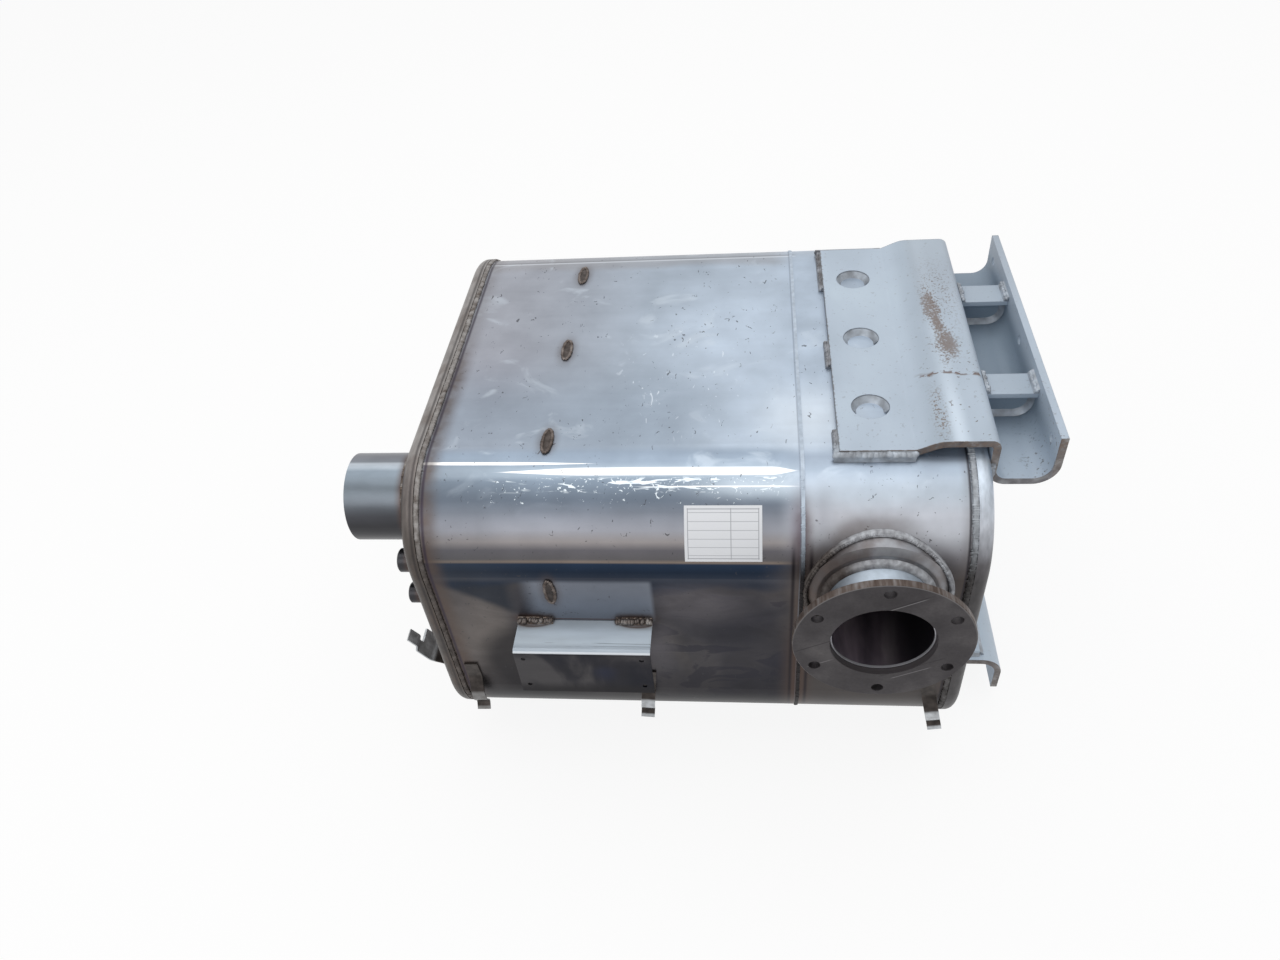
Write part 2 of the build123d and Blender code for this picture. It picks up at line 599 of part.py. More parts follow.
NODES = {
    "shell_main": shell_main(),
    "shell_inlet": shell_inlet(),
    "end_cap_outlet": end_cap_outlet(),
    "end_cap_inlet": end_cap_inlet(),
    "baffle_outlet": baffle(OUTLET_BAFFLE_X),
    "baffle_inlet": baffle(INLET_BAFFLE_X),
    "catalyst_cans": catalyst_cans(),
    "catalyst_mats": catalyst_mats(),
    "catalyst_bricks": catalyst_bricks(),
    "outlet_pipe": outlet_pipe(),
    "outlet_weld": outlet_weld(),
    "sensor_boss_upper": sensor_boss(*UPPER_BOSS),
    "sensor_boss_lower": sensor_boss(*LOWER_BOSS),
    "boss_welds": boss_welds(),
    "inlet_flange": inlet_flange(),
    "inlet_pipe": inlet_pipe(),
    "inlet_collar": inlet_collar(),
    "collar_foot_weld": collar_foot_weld(),
    "collar_neck_weld": collar_neck_weld(),
    "bracket_top": bracket(*UPPER_CHANNEL),
    "bracket_top_bars": stiffener_bars(*UPPER_CHANNEL),
    "bracket_top_ribs": stiffener_ribs(*UPPER_CHANNEL),
    "bracket_top_welds": bracket_welds(*UPPER_CHANNEL),
    "bracket_bottom": below(bracket(*LOWER_CHANNEL)),
    "bracket_bottom_bars": below(stiffener_bars(*LOWER_CHANNEL)),
    "bracket_bottom_ribs": below(stiffener_ribs(*LOWER_CHANNEL)),
    "bracket_bottom_welds": below(bracket_welds(*LOWER_CHANNEL)),
    "bracket_bottom_strip": lower_strip(),
    "bracket_bottom_strip_welds": lower_strip_welds(),
    "front_bracket": front_bracket(),
    "front_bracket_welds": front_bracket_welds(),
    "front_hooks": front_hooks(),
    "end_hook": end_hook(),
    "seam_weld_outlet": seam_bead(-SEAM_X, -SEAM_X + SEAM_BEAD_WIDTH),
    "seam_weld_inlet": seam_bead(SEAM_X - SEAM_BEAD_WIDTH, SEAM_X),
    "joint_weld": joint_bead(),
    "plug_welds": plug_welds(),
    "label": label(),
}

os.makedirs("parts", exist_ok=True)
for name, shape in NODES.items():
    export_step(INLET_FACE.inverse() * shape, f"parts/{name}.step")
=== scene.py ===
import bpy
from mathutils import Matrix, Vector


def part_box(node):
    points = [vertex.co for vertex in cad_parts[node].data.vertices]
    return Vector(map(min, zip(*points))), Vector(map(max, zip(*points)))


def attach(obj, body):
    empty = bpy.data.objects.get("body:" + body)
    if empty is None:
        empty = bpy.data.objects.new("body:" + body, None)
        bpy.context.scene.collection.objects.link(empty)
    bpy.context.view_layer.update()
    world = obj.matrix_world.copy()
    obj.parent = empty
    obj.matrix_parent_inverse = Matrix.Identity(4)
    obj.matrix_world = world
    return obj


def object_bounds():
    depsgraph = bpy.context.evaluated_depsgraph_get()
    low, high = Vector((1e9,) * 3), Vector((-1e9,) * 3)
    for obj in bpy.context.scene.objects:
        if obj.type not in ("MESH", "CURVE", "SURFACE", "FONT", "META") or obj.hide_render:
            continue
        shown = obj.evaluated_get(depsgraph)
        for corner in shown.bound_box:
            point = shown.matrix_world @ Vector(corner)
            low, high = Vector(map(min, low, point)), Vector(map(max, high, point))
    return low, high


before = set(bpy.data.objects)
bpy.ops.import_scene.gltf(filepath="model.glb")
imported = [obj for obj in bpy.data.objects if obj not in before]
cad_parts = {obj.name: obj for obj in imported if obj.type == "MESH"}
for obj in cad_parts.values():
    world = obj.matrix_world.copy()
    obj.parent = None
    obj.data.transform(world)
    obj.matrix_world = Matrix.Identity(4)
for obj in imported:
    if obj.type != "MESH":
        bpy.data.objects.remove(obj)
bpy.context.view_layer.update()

from math import cos, pi, radians, sin

import bpy
from mathutils import Euler, Vector

# Sizes, in metres, read from the CAD where it has them
SHELL_LO, SHELL_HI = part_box("shell_main")
CORNER_R = 0.105
FRONT_Y, BACK_Y = SHELL_LO[1], SHELL_HI[1]
BOTTOM_Z, TOP_Z = SHELL_LO[2], SHELL_HI[2]
MIDDLE_Y, MIDDLE_Z = (FRONT_Y + BACK_Y) / 2, (BOTTOM_Z + TOP_Z) / 2
CORNER_Y, CORNER_Z = FRONT_Y + CORNER_R, TOP_Z - CORNER_R
LEFT_SEAM_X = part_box("seam_weld_outlet")[0][0]
RIGHT_SEAM_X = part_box("seam_weld_inlet")[1][0]
JOINT_X = SHELL_HI[0]
PIPE_LO, PIPE_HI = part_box("outlet_pipe")
PIPE_Y, PIPE_Z = (PIPE_LO[1] + PIPE_HI[1]) / 2, (PIPE_LO[2] + PIPE_HI[2]) / 2
CAP_FACE_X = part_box("end_cap_outlet")[0][0]
PLUG_LO, PLUG_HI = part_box("plug_welds")
PLUG_X = (PLUG_LO[0] + PLUG_HI[0]) / 2
PLUG_PITCH = 0.169
PLUG_MIDDLE_Y = MIDDLE_Y - 0.005
PLUG_FRONT_Z = MIDDLE_Z + 0.082
BRACKET_LO, BRACKET_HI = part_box("bracket_top")
BRACKET_MIDDLE_Y = (BRACKET_LO[1] + BRACKET_HI[1]) / 2
HOLE_PITCH, HOLE_FROM_EDGE, HOLE_R = 0.1275, 0.0385, 0.021
FLANGE_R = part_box("inlet_flange")[1][0]
LABEL_START, LABEL_ARC = radians(41.0), radians(34.5)  # from straight up, round the corner
FOOT_WELD_R, NECK_WELD_R, NECK_WELD_Y, OUTLET_WELD_R = 0.0775, 0.0578, 0.0592, 0.0524

# View and light
CAMERA_PLACE, CAMERA_TURN, CAMERA_LENS = (-0.1321, -0.6184, 0.8421), (45.901, 4.924, 4.577), 27.33
SENSOR_WIDTH = 36.0
WORLD_STRENGTH, FLOOR_PALENESS, FLOOR_SIZE = 0.6, 0.88, 60


# Node tree helpers
def linear(colour):
    """A colour as seen on screen, 0 to 255, in the linear values that sockets take."""
    return tuple(((c / 255 + 0.055) / 1.055) ** 2.4 if c > 10 else c / 255 / 12.92 for c in colour)


def add_node(tree, kind, inputs, **settings):
    """Adds a node, sets its properties, then sets or links its inputs. Gives back its outputs."""
    node = tree.nodes.new(kind)
    for name, value in settings.items():
        setattr(node, name, value)
    for key, value in inputs.items():
        socket = node.inputs[key]
        if isinstance(value, bpy.types.NodeSocket):
            tree.links.new(value, socket)
        else:
            socket.default_value = (*linear(value), 1.0) if socket.type == "RGBA" else value
    return node.outputs


class Graph:
    """One material's node tree, built up from the object's own coordinates."""

    def __init__(self, name):
        self.material = bpy.data.materials.new(name)
        self.material.use_nodes = True
        self.tree = self.material.node_tree
        self.tree.nodes.clear()
        self.out = self.tree.nodes.new("ShaderNodeOutputMaterial")
        self.place = self.add("ShaderNodeTexCoord", {})["Object"]
        self.x, self.y, self.z = self.add("ShaderNodeSeparateXYZ", {0: self.place})

    def add(self, kind, inputs, **settings):
        return add_node(self.tree, kind, inputs, **settings)

    def math(self, operation, a, b=None, clamp=False):
        inputs = {0: a} if b is None else {0: a, 1: b}
        return self.add("ShaderNodeMath", inputs, operation=operation, use_clamp=clamp)[0]

    def plus(self, a, b, clamp=False):
        return self.math("ADD", a, b, clamp)

    def minus(self, a, b):
        return self.math("SUBTRACT", a, b)

    def times(self, a, b, clamp=False):
        return self.math("MULTIPLY", a, b, clamp)

    def noise(self, scale, stretch=(1, 1, 1), detail=3, seed=0, distortion=0):
        """Noise over the object's own coordinates; scale is in features per metre."""
        start = (seed, seed * 0.7, seed * 1.3)
        place = self.add("ShaderNodeMapping", {"Vector": self.place, "Scale": stretch, "Location": start})[0]
        settings = {"Vector": place, "Scale": scale, "Detail": detail, "Distortion": distortion}
        return self.add("ShaderNodeTexNoise", settings)["Fac"]

    def band(self, value, low, high):
        """0 at low, 1 at high, smooth between; high may be less than low."""
        reach = {"Value": value, "From Min": min(low, high), "From Max": max(low, high),
                 "To Min": 0.0 if high > low else 1.0, "To Max": 1.0 if high > low else 0.0}
        return self.add("ShaderNodeMapRange", reach, interpolation_type="SMOOTHSTEP")["Result"]

    def near(self, value, centre, reach):
        """1 at centre, falling to 0 at reach on both sides."""
        return self.band(self.math("ABSOLUTE", self.minus(value, centre)), reach, 0.0)

    def ramp(self, value, stops):
        """Colours along a value, from a list of (position, colour on screen)."""
        outputs = self.add("ShaderNodeValToRGB", {0: value})
        elements = outputs[0].node.color_ramp.elements
        for index, (position, colour) in enumerate(stops):
            element = elements[index] if index < 2 else elements.new(position)
            element.position = position
            element.color = (*linear(colour), 1.0)
        return outputs[0]

    def mix(self, factor, a, b):
        inputs = {"Factor": factor, "A": a, "B": b}
        return self.add("ShaderNodeMix", inputs, data_type="RGBA")["Result"]

    def tint(self, base, colour, *factors):
        """Lays a colour over a base as far as the factors' product says."""
        return self.mix(self.product(*factors), base, colour)

    def vary(self, colour, noise, depth):
        """Scales a colour between 1 - depth and 1 + depth by a noise value."""
        reach = {"Value": noise, "From Min": 0.3, "From Max": 0.7, "To Min": 1.0 - depth, "To Max": 1.0 + depth}
        factor = self.add("ShaderNodeMapRange", reach)["Result"]
        return self.add("ShaderNodeVectorMath", {0: colour, "Scale": factor}, operation="SCALE")[0]

    def streak(self, value, centre, half, tapers):
        """A line round a value, thinning to nothing where a taper falls to 0."""
        taper = self.product(*tapers)
        offset = self.math("ABSOLUTE", self.minus(value, centre))
        width = self.plus(self.times(taper, half), 0.0005)
        return self.product(self.band(self.math("DIVIDE", offset, width), 1.3, 0.7), self.band(taper, 0.0, 0.2))

    def product(self, *factors):
        result = factors[0]
        for factor in factors[1:]:
            result = self.times(result, factor)
        return result

    def greatest(self, *values):
        result = values[0]
        for value in values[1:]:
            result = self.math("MAXIMUM", result, value)
        return result

    def distance(self, a, a0, b, b0):
        """Distance in a plane from the point (a0, b0)."""
        da, db = self.minus(a, a0), self.minus(b, b0)
        return self.math("SQRT", self.plus(self.product(da, da), self.product(db, db)))

    def finish(self, colour, metallic, roughness, bump=None, bump_depth=0.0005, soft_edge=0.0, gloss=0.5):
        """Ends the tree in one shader. A bump and an edge that only looks rounded are optional."""
        inputs = {"Base Color": colour, "Metallic": metallic, "Roughness": roughness, "Specular IOR Level": gloss}
        if soft_edge:
            inputs["Normal"] = self.add("ShaderNodeBevel", {"Radius": soft_edge}, samples=4)[0]
        if bump is not None:
            relief = {"Distance": bump_depth, "Height": bump}
            if soft_edge:
                relief["Normal"] = inputs["Normal"]
            inputs["Normal"] = self.add("ShaderNodeBump", relief)[0]
        shader = self.add("ShaderNodeBsdfPrincipled", inputs)[0]
        self.tree.links.new(shader, self.out.inputs[0])
        return self.material


# Materials
def corner_angle(g, soft=0.0):
    """0 on the flat top, 1 on the flat front, by angle between; soft blurs it on a flat end."""
    forward = g.math("MAXIMUM", g.minus(CORNER_Y, g.y), 0.0)
    upward = g.math("MAXIMUM", g.minus(g.z, CORNER_Z), 0.0)
    if soft:
        blur = g.product(g.band(g.z, CORNER_Z, CORNER_Z - 0.03), g.band(forward, 0.100, 0.03), soft)
        upward = g.plus(upward, blur)
    angle = g.math("ARCTAN2", forward, upward)
    return g.math("DIVIDE", angle, pi / 2)


def plug_halo(g, reach):
    """Nearness to the plug welds on the top and on the front."""
    along = g.plus(g.minus(g.y, PLUG_MIDDLE_Y), PLUG_PITCH * 10.5)
    along = g.minus(g.math("MODULO", along, PLUG_PITCH), PLUG_PITCH / 2)
    squeezed = g.times(along, 0.45)
    on_top = g.product(g.band(g.distance(g.x, PLUG_X, squeezed, 0.0), reach, 0.0),
                       g.band(g.z, TOP_Z - 0.004, TOP_Z))
    down = g.times(g.minus(g.z, PLUG_FRONT_Z), 0.45)
    on_front = g.product(g.band(g.distance(g.x, PLUG_X, down, 0.0), reach, 0.0),
                         g.band(g.y, FRONT_Y + 0.004, FRONT_Y))
    return g.greatest(on_top, on_front)


def shoulder_tone(g, angle):
    """The main shell's corner: the room's light and dark bands as painted reflections, and three painted highlight
    streaks.
    """
    wander = g.noise(2.2, (1, 1, 1), detail=1, seed=3)
    waved = g.plus(angle, g.times(g.minus(wander, 0.5), 0.025))
    # Painted reflection: the room's light and dark bands laid round the corner by angle.
    corner = g.ramp(waved, [
        (0.06, (134, 147, 162)), (0.15, (138, 151, 166)), (0.20, (154, 167, 180)),
        (0.25, (150, 163, 176)), (0.29, (122, 135, 149)),
        (0.42, (104, 114, 127)), (0.50, (112, 118, 128)), (0.62, (146, 148, 156)), (0.70, (152, 147, 147)),
        (0.76, (104, 102, 107)), (0.83, (98, 96, 98)), (0.852, (132, 120, 111)), (0.868, (40, 54, 74)),
        (0.94, (32, 43, 59)), (0.99, (44, 52, 66)), (1.0, (58, 63, 74))])
    corner = g.tint(corner, (70, 72, 76), g.band(g.x, -0.34, LEFT_SEAM_X + 0.02), g.band(angle, 0.1, 0.2), 0.30)
    # Painted highlight, spread wider on the right part of the shoulder.
    spread = g.product(g.band(g.x, -0.24, -0.12), g.near(angle, 0.335, 0.13), 0.75)
    corner = g.tint(corner, (196, 208, 219), spread)
    # Three painted highlight lines along the shoulder.
    upper_centre = g.plus(0.150, g.times(g.plus(g.x, 0.50), 0.06))
    upper_highlight = g.streak(waved, upper_centre, 0.011, (g.band(g.x, -0.515, -0.495), g.band(g.x, -0.29, -0.40)))
    lower_highlight = g.streak(waved, 0.222, 0.027, (g.band(g.x, -0.43, -0.31), g.band(g.x, -0.080, -0.115)))
    third_highlight = g.streak(waved, 0.330, 0.0045, (g.band(g.x, -0.28, -0.16), g.band(g.x, -0.075, -0.10)))
    return g.tint(corner, (252, 252, 252), g.greatest(upper_highlight, lower_highlight, g.product(third_highlight, 0.8)))


def top_tone(g):
    """The main shell's flat top, hazy and darker towards the left, with painted shade where it turns down at the
    back.
    """
    top = g.ramp(g.band(g.x, LEFT_SEAM_X, JOINT_X), [
        (0.0, (160, 163, 172)), (0.3, (156, 163, 174)), (0.6, (162, 173, 186)), (1.0, (182, 195, 210))])
    haze = g.noise(6, (1, 0.8, 1), detail=4, seed=1, distortion=0.5)
    top = g.vary(top, haze, 0.13)
    top = g.tint(top, (124, 122, 132), g.near(g.x, LEFT_SEAM_X + 0.05, 0.09), g.near(g.y, 0.28, 0.15), 0.35)
    top = g.tint(top, (142, 154, 168), g.band(g.x, -0.15, -0.24), g.band(g.y, 0.36, 0.22), 0.7)
    # Painted shade on the curve where the top turns down at the back.
    back_edge = g.plus(g.y, g.times(g.noise(7, seed=35), 0.03))
    top = g.tint(top, (150, 149, 152), g.band(back_edge, BACK_Y - 0.100, BACK_Y - 0.082), 0.5)
    return top


def front_tone(g):
    """The main shell's front: a dark painted reflection of the floor, with real staining, a painted lit patch, a
    painted reflection of the front bracket and painted shade where it turns under.
    """
    # Painted reflection: the front's dark base tone mirrors the floor; the noise adds real staining.
    stains_on_reflection = g.noise(8, (1, 1, 0.8), detail=5, seed=4, distortion=0.6)
    front = g.ramp(stains_on_reflection, [(0.32, (46, 45, 52)), (0.46, (62, 61, 66)), (0.6, (74, 71, 72)), (0.72, (98, 95, 94))])
    lit_patch = g.product(g.band(g.x, -0.402, -0.376), g.band(g.x, -0.244, -0.251), g.band(g.z, -0.060, -0.052))
    left_patch = g.product(g.band(g.x, -0.40, -0.43), g.near(g.z, -0.09, 0.14), 0.8)
    front = g.tint(front, (110, 104, 101), left_patch)
    # Painted reflection: a dark blue patch at the left, edged on a slant.
    wedge_edge = g.plus(g.z, g.times(g.plus(g.x, 0.49), 0.62))
    reflection_wedge = g.product(g.band(wedge_edge, 0.0, 0.016), g.band(g.x, -0.40, -0.42))
    front = g.tint(front, (38, 44, 54), reflection_wedge, 0.9)
    # Painted reflection: a ragged dark blue band just below the shoulder.
    ragged_reflection_band = g.plus(g.z, g.times(g.minus(g.noise(6, detail=4, seed=52), 0.5), 0.09))
    front = g.tint(front, (36, 46, 62), g.band(ragged_reflection_band, CORNER_Z - 0.022, CORNER_Z - 0.008), 0.85)
    dark_right = g.product(g.band(g.noise(7, (1.2, 1, 1), detail=3, seed=53), 0.44, 0.56),
                           g.band(g.x, -0.23, -0.16), 0.4)
    front = g.tint(front, (30, 31, 41), dark_right)
    # Painted reflection of the front bracket.
    bracket_reflection = g.product(g.band(g.distance(g.x, -0.39, g.z, -0.14), 0.094, 0.058), 0.85)
    front = g.tint(front, (34, 33, 36), bracket_reflection)
    bead_heat = g.product(g.greatest(g.near(g.x, -0.388, 0.034), g.near(g.x, -0.271, 0.034)),
                          g.near(g.z, -0.052, 0.012))
    blots = g.noise(26, (0.45, 1, 1), detail=6, seed=37, distortion=1.2)
    streaks = g.product(g.band(blots, 0.53, 0.58), g.band(g.x, -0.27, -0.24), 0.6)
    front = g.tint(front, (36, 36, 46), streaks)
    beside = g.product(g.near(g.x, -0.248, 0.032), g.near(g.z, -0.10, 0.09))
    right_patch = g.product(g.greatest(beside, g.product(g.near(g.x, -0.20, 0.10), g.near(g.z, -0.02, 0.055))),
                            0.5)
    front = g.tint(front, (112, 108, 112), right_patch)
    front = g.vary(front, blots, 0.18)
    # Painted shade: darker down to the bottom, where the front turns under.
    front = g.tint(front, (34, 32, 36), g.band(g.z, -0.12, -0.20), 0.5)
    front = g.tint(front, (14, 13, 15), g.band(g.z, -0.19, -0.235), 0.85)
    front = g.tint(front, (122, 127, 137), lit_patch, 0.92)
    front = g.tint(front, (88, 68, 58), g.times(bead_heat, 1.2, clamp=True))
    foot_line = g.product(g.near(g.z, -0.0525, 0.0016), g.band(g.x, -0.405, -0.40), g.band(g.x, -0.252, -0.256),
                          0.8)
    front = g.tint(front, (92, 66, 54), foot_line)
    return front


def inlet_tone(g, angle):
    """The inlet shell, painted as a reflection by angle: brighter at its corner, dark down the front."""
    # Painted reflection: lighter round the corner and dark down the front, by angle.
    inlet_corner = g.ramp(angle, [
        (0.0, (174, 187, 202)), (0.12, (142, 153, 167)), (0.22, (152, 164, 178)), (0.4, (188, 198, 209)),
        (0.52, (200, 204, 213)), (0.66, (184, 187, 194)), (0.8, (138, 137, 142)), (0.9, (110, 107, 109)),
        (1.0, (74, 70, 69))])
    inlet_corner = g.vary(inlet_corner, g.noise(14, detail=4, seed=6), 0.12)
    inlet_plain = g.product(g.band(g.y, FRONT_Y + 0.015, CORNER_Y + 0.03), g.band(g.z, CORNER_Z, CORNER_Z - 0.02))
    inlet_corner = g.tint(inlet_corner, (160, 170, 182), inlet_plain)
    return inlet_corner


def surface_marks_and_rim_light(g, tone, angle):
    """Smudges, scuffs along the shoulder, nicks, pits, and a painted highlight and painted shade line on the back
    edge's curve.
    """
    bright_spot = g.product(g.near(g.distance(g.x, -0.072, g.y, 0.215), 0.0, 0.085), g.band(angle, 0.12, 0.02),
                            0.6)
    tone = g.tint(tone, (222, 231, 240), bright_spot)
    tone = g.vary(tone, g.noise(26, detail=6, seed=5), 0.07)
    tone = g.vary(tone, g.noise(90, (0.1, 1, 1), seed=8), 0.02)
    smudge = g.noise(18, (0.7, 1, 1), detail=5, seed=19, distortion=1.2)
    tone = g.tint(tone, (206, 216, 226), g.band(smudge, 0.58, 0.72), g.band(angle, 0.6, 0.1), 0.35)
    strokes = g.noise(120, (0.28, 1.5, 1.5), detail=5, seed=11, distortion=1.2)
    curls = g.noise(110, (1, 1, 1), detail=4, seed=12, distortion=2.5)
    clusters = g.band(g.noise(22, (0.6, 0.4, 0.4), detail=2, seed=38), 0.44, 0.56)
    row = g.product(g.near(angle, 0.315, 0.065), g.band(g.x, -0.43, -0.38),
                    g.band(g.x, JOINT_X - 0.01, JOINT_X - 0.03))
    scuffs = g.product(g.greatest(g.band(strokes, 0.56, 0.60), g.band(curls, 0.64, 0.67)), clusters, row, 3.0)
    stray = g.product(g.band(curls, 0.68, 0.70), g.near(angle, 0.36, 0.12), g.band(g.x, -0.46, -0.40),
                      g.band(g.x, JOINT_X, JOINT_X - 0.02), 3.0)
    tone = g.tint(tone, (228, 236, 241), g.math("MINIMUM", g.greatest(scuffs, stray), 0.85))
    nicks = g.product(g.band(g.noise(90, (1, 0.35, 1), detail=4, seed=39, distortion=2), 0.67, 0.70),
                      g.band(angle, 0.1, 0.0), g.near(g.x, -0.2, 0.12), g.near(g.y, 0.29, 0.13), 2.0)
    tone = g.tint(tone, (222, 230, 238), g.math("MINIMUM", nicks, 0.6))
    # Painted highlight and painted shade along the curve of the back edge.
    rim_highlight = g.product(g.near(g.y, BACK_Y - 0.085, 0.0035), g.band(g.x, JOINT_X + 0.01, JOINT_X), 0.55)
    tone = g.tint(tone, (226, 232, 238), rim_highlight)
    rim_shade = g.product(g.near(g.y, BACK_Y - 0.080, 0.0035), g.band(g.x, JOINT_X + 0.01, JOINT_X), 0.55)
    tone = g.tint(tone, (104, 104, 112), rim_shade)
    pit_area = g.plus(g.product(g.band(g.noise(14, detail=2, seed=49), 0.5, 0.6), 0.04), 0.72)
    pits = g.minus(g.plus(g.noise(190, (1, 0.6, 1), detail=3, seed=20, distortion=1), 0.04), pit_area)
    pits = g.product(g.band(pits, 0.0, 0.02), 0.75)
    tone = g.tint(tone, (66, 66, 70), pits)
    return tone


def heat_marks_and_seam_shadow(g, tone, angle):
    """Browned and dark bands along the seams, round the collar and round the plug welds, and a painted shadow line
    beside the inlet seam's bead.
    """
    less_behind = g.minus(1.0, g.product(g.band(g.y, 0.28, 0.40), 0.6))
    heat = g.greatest(g.product(g.near(g.x, LEFT_SEAM_X + 0.012, 0.021), less_behind),
                      g.product(g.near(g.x, JOINT_X, 0.016), g.band(angle, 0.25, 0.6)),
                      g.product(g.near(g.x, RIGHT_SEAM_X - 0.008, 0.012), 0.4), plug_halo(g, 0.0180))
    ragged = g.times(heat, g.plus(g.noise(60, detail=3, seed=2), 0.35), clamp=True)
    tone = g.tint(tone, (88, 76, 70), ragged, 0.85)
    collar_ring = g.distance(g.x, 0.0, g.z, 0.0)
    less_right = g.minus(1.0, g.product(g.band(g.x, 0.0, 0.06), 0.75))
    around = g.product(g.near(collar_ring, 0.082, 0.022), g.band(g.y, CORNER_Y, FRONT_Y + 0.03), less_right)
    tone = g.tint(tone, (92, 80, 74), around, g.noise(30, detail=3, seed=18), 0.85)
    haze_ring = g.product(g.band(collar_ring, 0.135, 0.085), g.band(g.y, CORNER_Y, FRONT_Y + 0.03),
                          g.band(g.noise(12, detail=4, seed=50), 0.35, 0.65), less_right, 0.4)
    tone = g.tint(tone, (116, 108, 106), haze_ring)
    dark_line = g.product(g.near(g.x, LEFT_SEAM_X + 0.0095, 0.0032), 0.8)
    tone = g.tint(tone, (54, 48, 60), dark_line)
    # Painted shadow of the inlet seam's bead, along the shell's edge.
    bead_shadow_line = g.product(g.near(g.x, RIGHT_SEAM_X - 0.0082, 0.0024), 0.9)
    tone = g.tint(tone, (52, 50, 54), bead_shadow_line)
    behind_joint = g.product(g.near(g.x, JOINT_X + 0.020, 0.020), g.near(angle, 0.5, 0.30), 0.42)
    tone = g.tint(tone, (124, 124, 131), behind_joint)
    seam_line = g.product(g.near(g.x, JOINT_X - 0.003, 0.0011), 0.5)
    tone = g.tint(tone, (122, 130, 142), seam_line)
    purple = g.product(g.near(g.x, JOINT_X - 0.004, 0.017), g.near(angle, 0.62, 0.4), 0.42)
    tone = g.tint(tone, (92, 74, 92), purple)
    brown_band = g.product(g.near(g.x, JOINT_X - 0.002, 0.026), g.band(g.z, -0.02, -0.12), 0.6)
    tone = g.tint(tone, (72, 54, 47), brown_band)
    down_line = g.product(g.greatest(g.near(g.x, JOINT_X - 0.010, 0.0035), g.near(g.x, JOINT_X + 0.009, 0.0035)),
                          g.band(angle, 0.65, 0.9), 0.85)
    tone = g.tint(tone, (34, 30, 35), down_line)
    return tone


def body_steel():
    """Mill-finish sheet: blue-grey above, a painted highlight line round the shoulder, dark in front as a painted
    reflection, and stained.
    """
    g = Graph("body_steel")
    angle = corner_angle(g)
    top = top_tone(g)
    tone = g.tint(top, shoulder_tone(g, angle), g.band(angle, 0.0, 0.09))
    below = g.band(g.y, FRONT_Y + 0.015, CORNER_Y + 0.03)
    low = g.mix(below, front_tone(g), top)
    tone = g.tint(tone, low, g.band(g.z, CORNER_Z - 0.001, CORNER_Z - 0.010))
    tone = g.tint(tone, inlet_tone(g, angle), g.band(g.x, JOINT_X - 0.03, JOINT_X + 0.01))
    tone = heat_marks_and_seam_shadow(g, surface_marks_and_rim_light(g, tone, angle), angle)
    return g.finish(tone, 0.75, 0.38, bump=g.noise(6, detail=1, seed=14), bump_depth=0.003, gloss=0.08)


def cap_steel():
    """The pressed caps, lighter above and darker down the front as painted light and shade: the left one browned and
    dark, the right one greyer above.
    """
    g = Graph("cap_steel")
    angle = corner_angle(g, 0.06)
    # Painted light and shade: both ramps run lighter above and darker down the front, by angle.
    right = g.ramp(angle, [(0.0, (170, 180, 191)), (0.35, (190, 200, 211)), (0.6, (184, 188, 196)),
                           (0.85, (98, 96, 99)), (1.0, (70, 68, 69))])
    left = g.ramp(angle, [(0.0, (142, 138, 136)), (0.3, (112, 106, 104)), (0.7, (82, 76, 72)),
                          (1.0, (74, 69, 66))])
    tone = g.tint(left, right, g.band(g.x, JOINT_X - 0.1, JOINT_X))
    tone = g.vary(tone, g.noise(60, (3, 1, 1), detail=4, seed=6), 0.18)
    near_edge = g.plus(g.band(g.x, CAP_FACE_X + 0.001, CAP_FACE_X + 0.004), 0.35, clamp=True)
    brown = g.product(g.band(g.noise(24, detail=4, seed=4), 0.45, 0.65), g.band(g.x, JOINT_X, JOINT_X - 0.1),
                      near_edge, 0.5)
    tone = g.tint(tone, (92, 78, 70), brown)
    dark_edge = g.near(g.x, LEFT_SEAM_X - 0.0035, 0.0028)
    tone = g.tint(tone, (46, 42, 43), dark_edge, 0.7)
    return g.finish(tone, 0.7, 0.42, bump=g.noise(90, detail=3, seed=6), bump_depth=0.0004)


def pipe_steel():
    """Drawn tube, with a painted highlight along the top and painted shade below, browned at the end cap."""
    g = Graph("pipe_steel")
    upward = g.minus(g.z, PIPE_Z)
    forward = g.minus(PIPE_Y, g.y)
    turn = g.math("MULTIPLY_ADD", g.math("ARCTAN2", forward, upward), 0.5 / pi)
    turn.node.inputs[2].default_value = 0.5
    # Painted highlight along the top and painted shade below, by angle round the tube.
    tone = g.ramp(turn, [
        (0.0, (52, 51, 54)), (0.25, (90, 92, 98)), (0.45, (122, 124, 132)), (0.485, (132, 137, 145)),
        (0.495, (192, 200, 209)), (0.512, (178, 188, 198)), (0.53, (132, 144, 155)), (0.6, (114, 123, 131)),
        (0.65, (100, 106, 113)), (0.70, (74, 75, 80)), (0.74, (58, 58, 61)), (1.0, (52, 51, 54))])
    tone = g.tint(tone, (60, 62, 66), 0.12)
    tone = g.vary(tone, g.noise(50, (0.4, 1, 1), detail=4, seed=7), 0.10)
    heat = g.times(g.near(g.x, CAP_FACE_X, 0.013), g.plus(g.noise(60, seed=33), 0.6), clamp=True)
    tone = g.tint(tone, (84, 66, 58), heat, 0.85)
    return g.finish(tone, 0.8, 0.33)


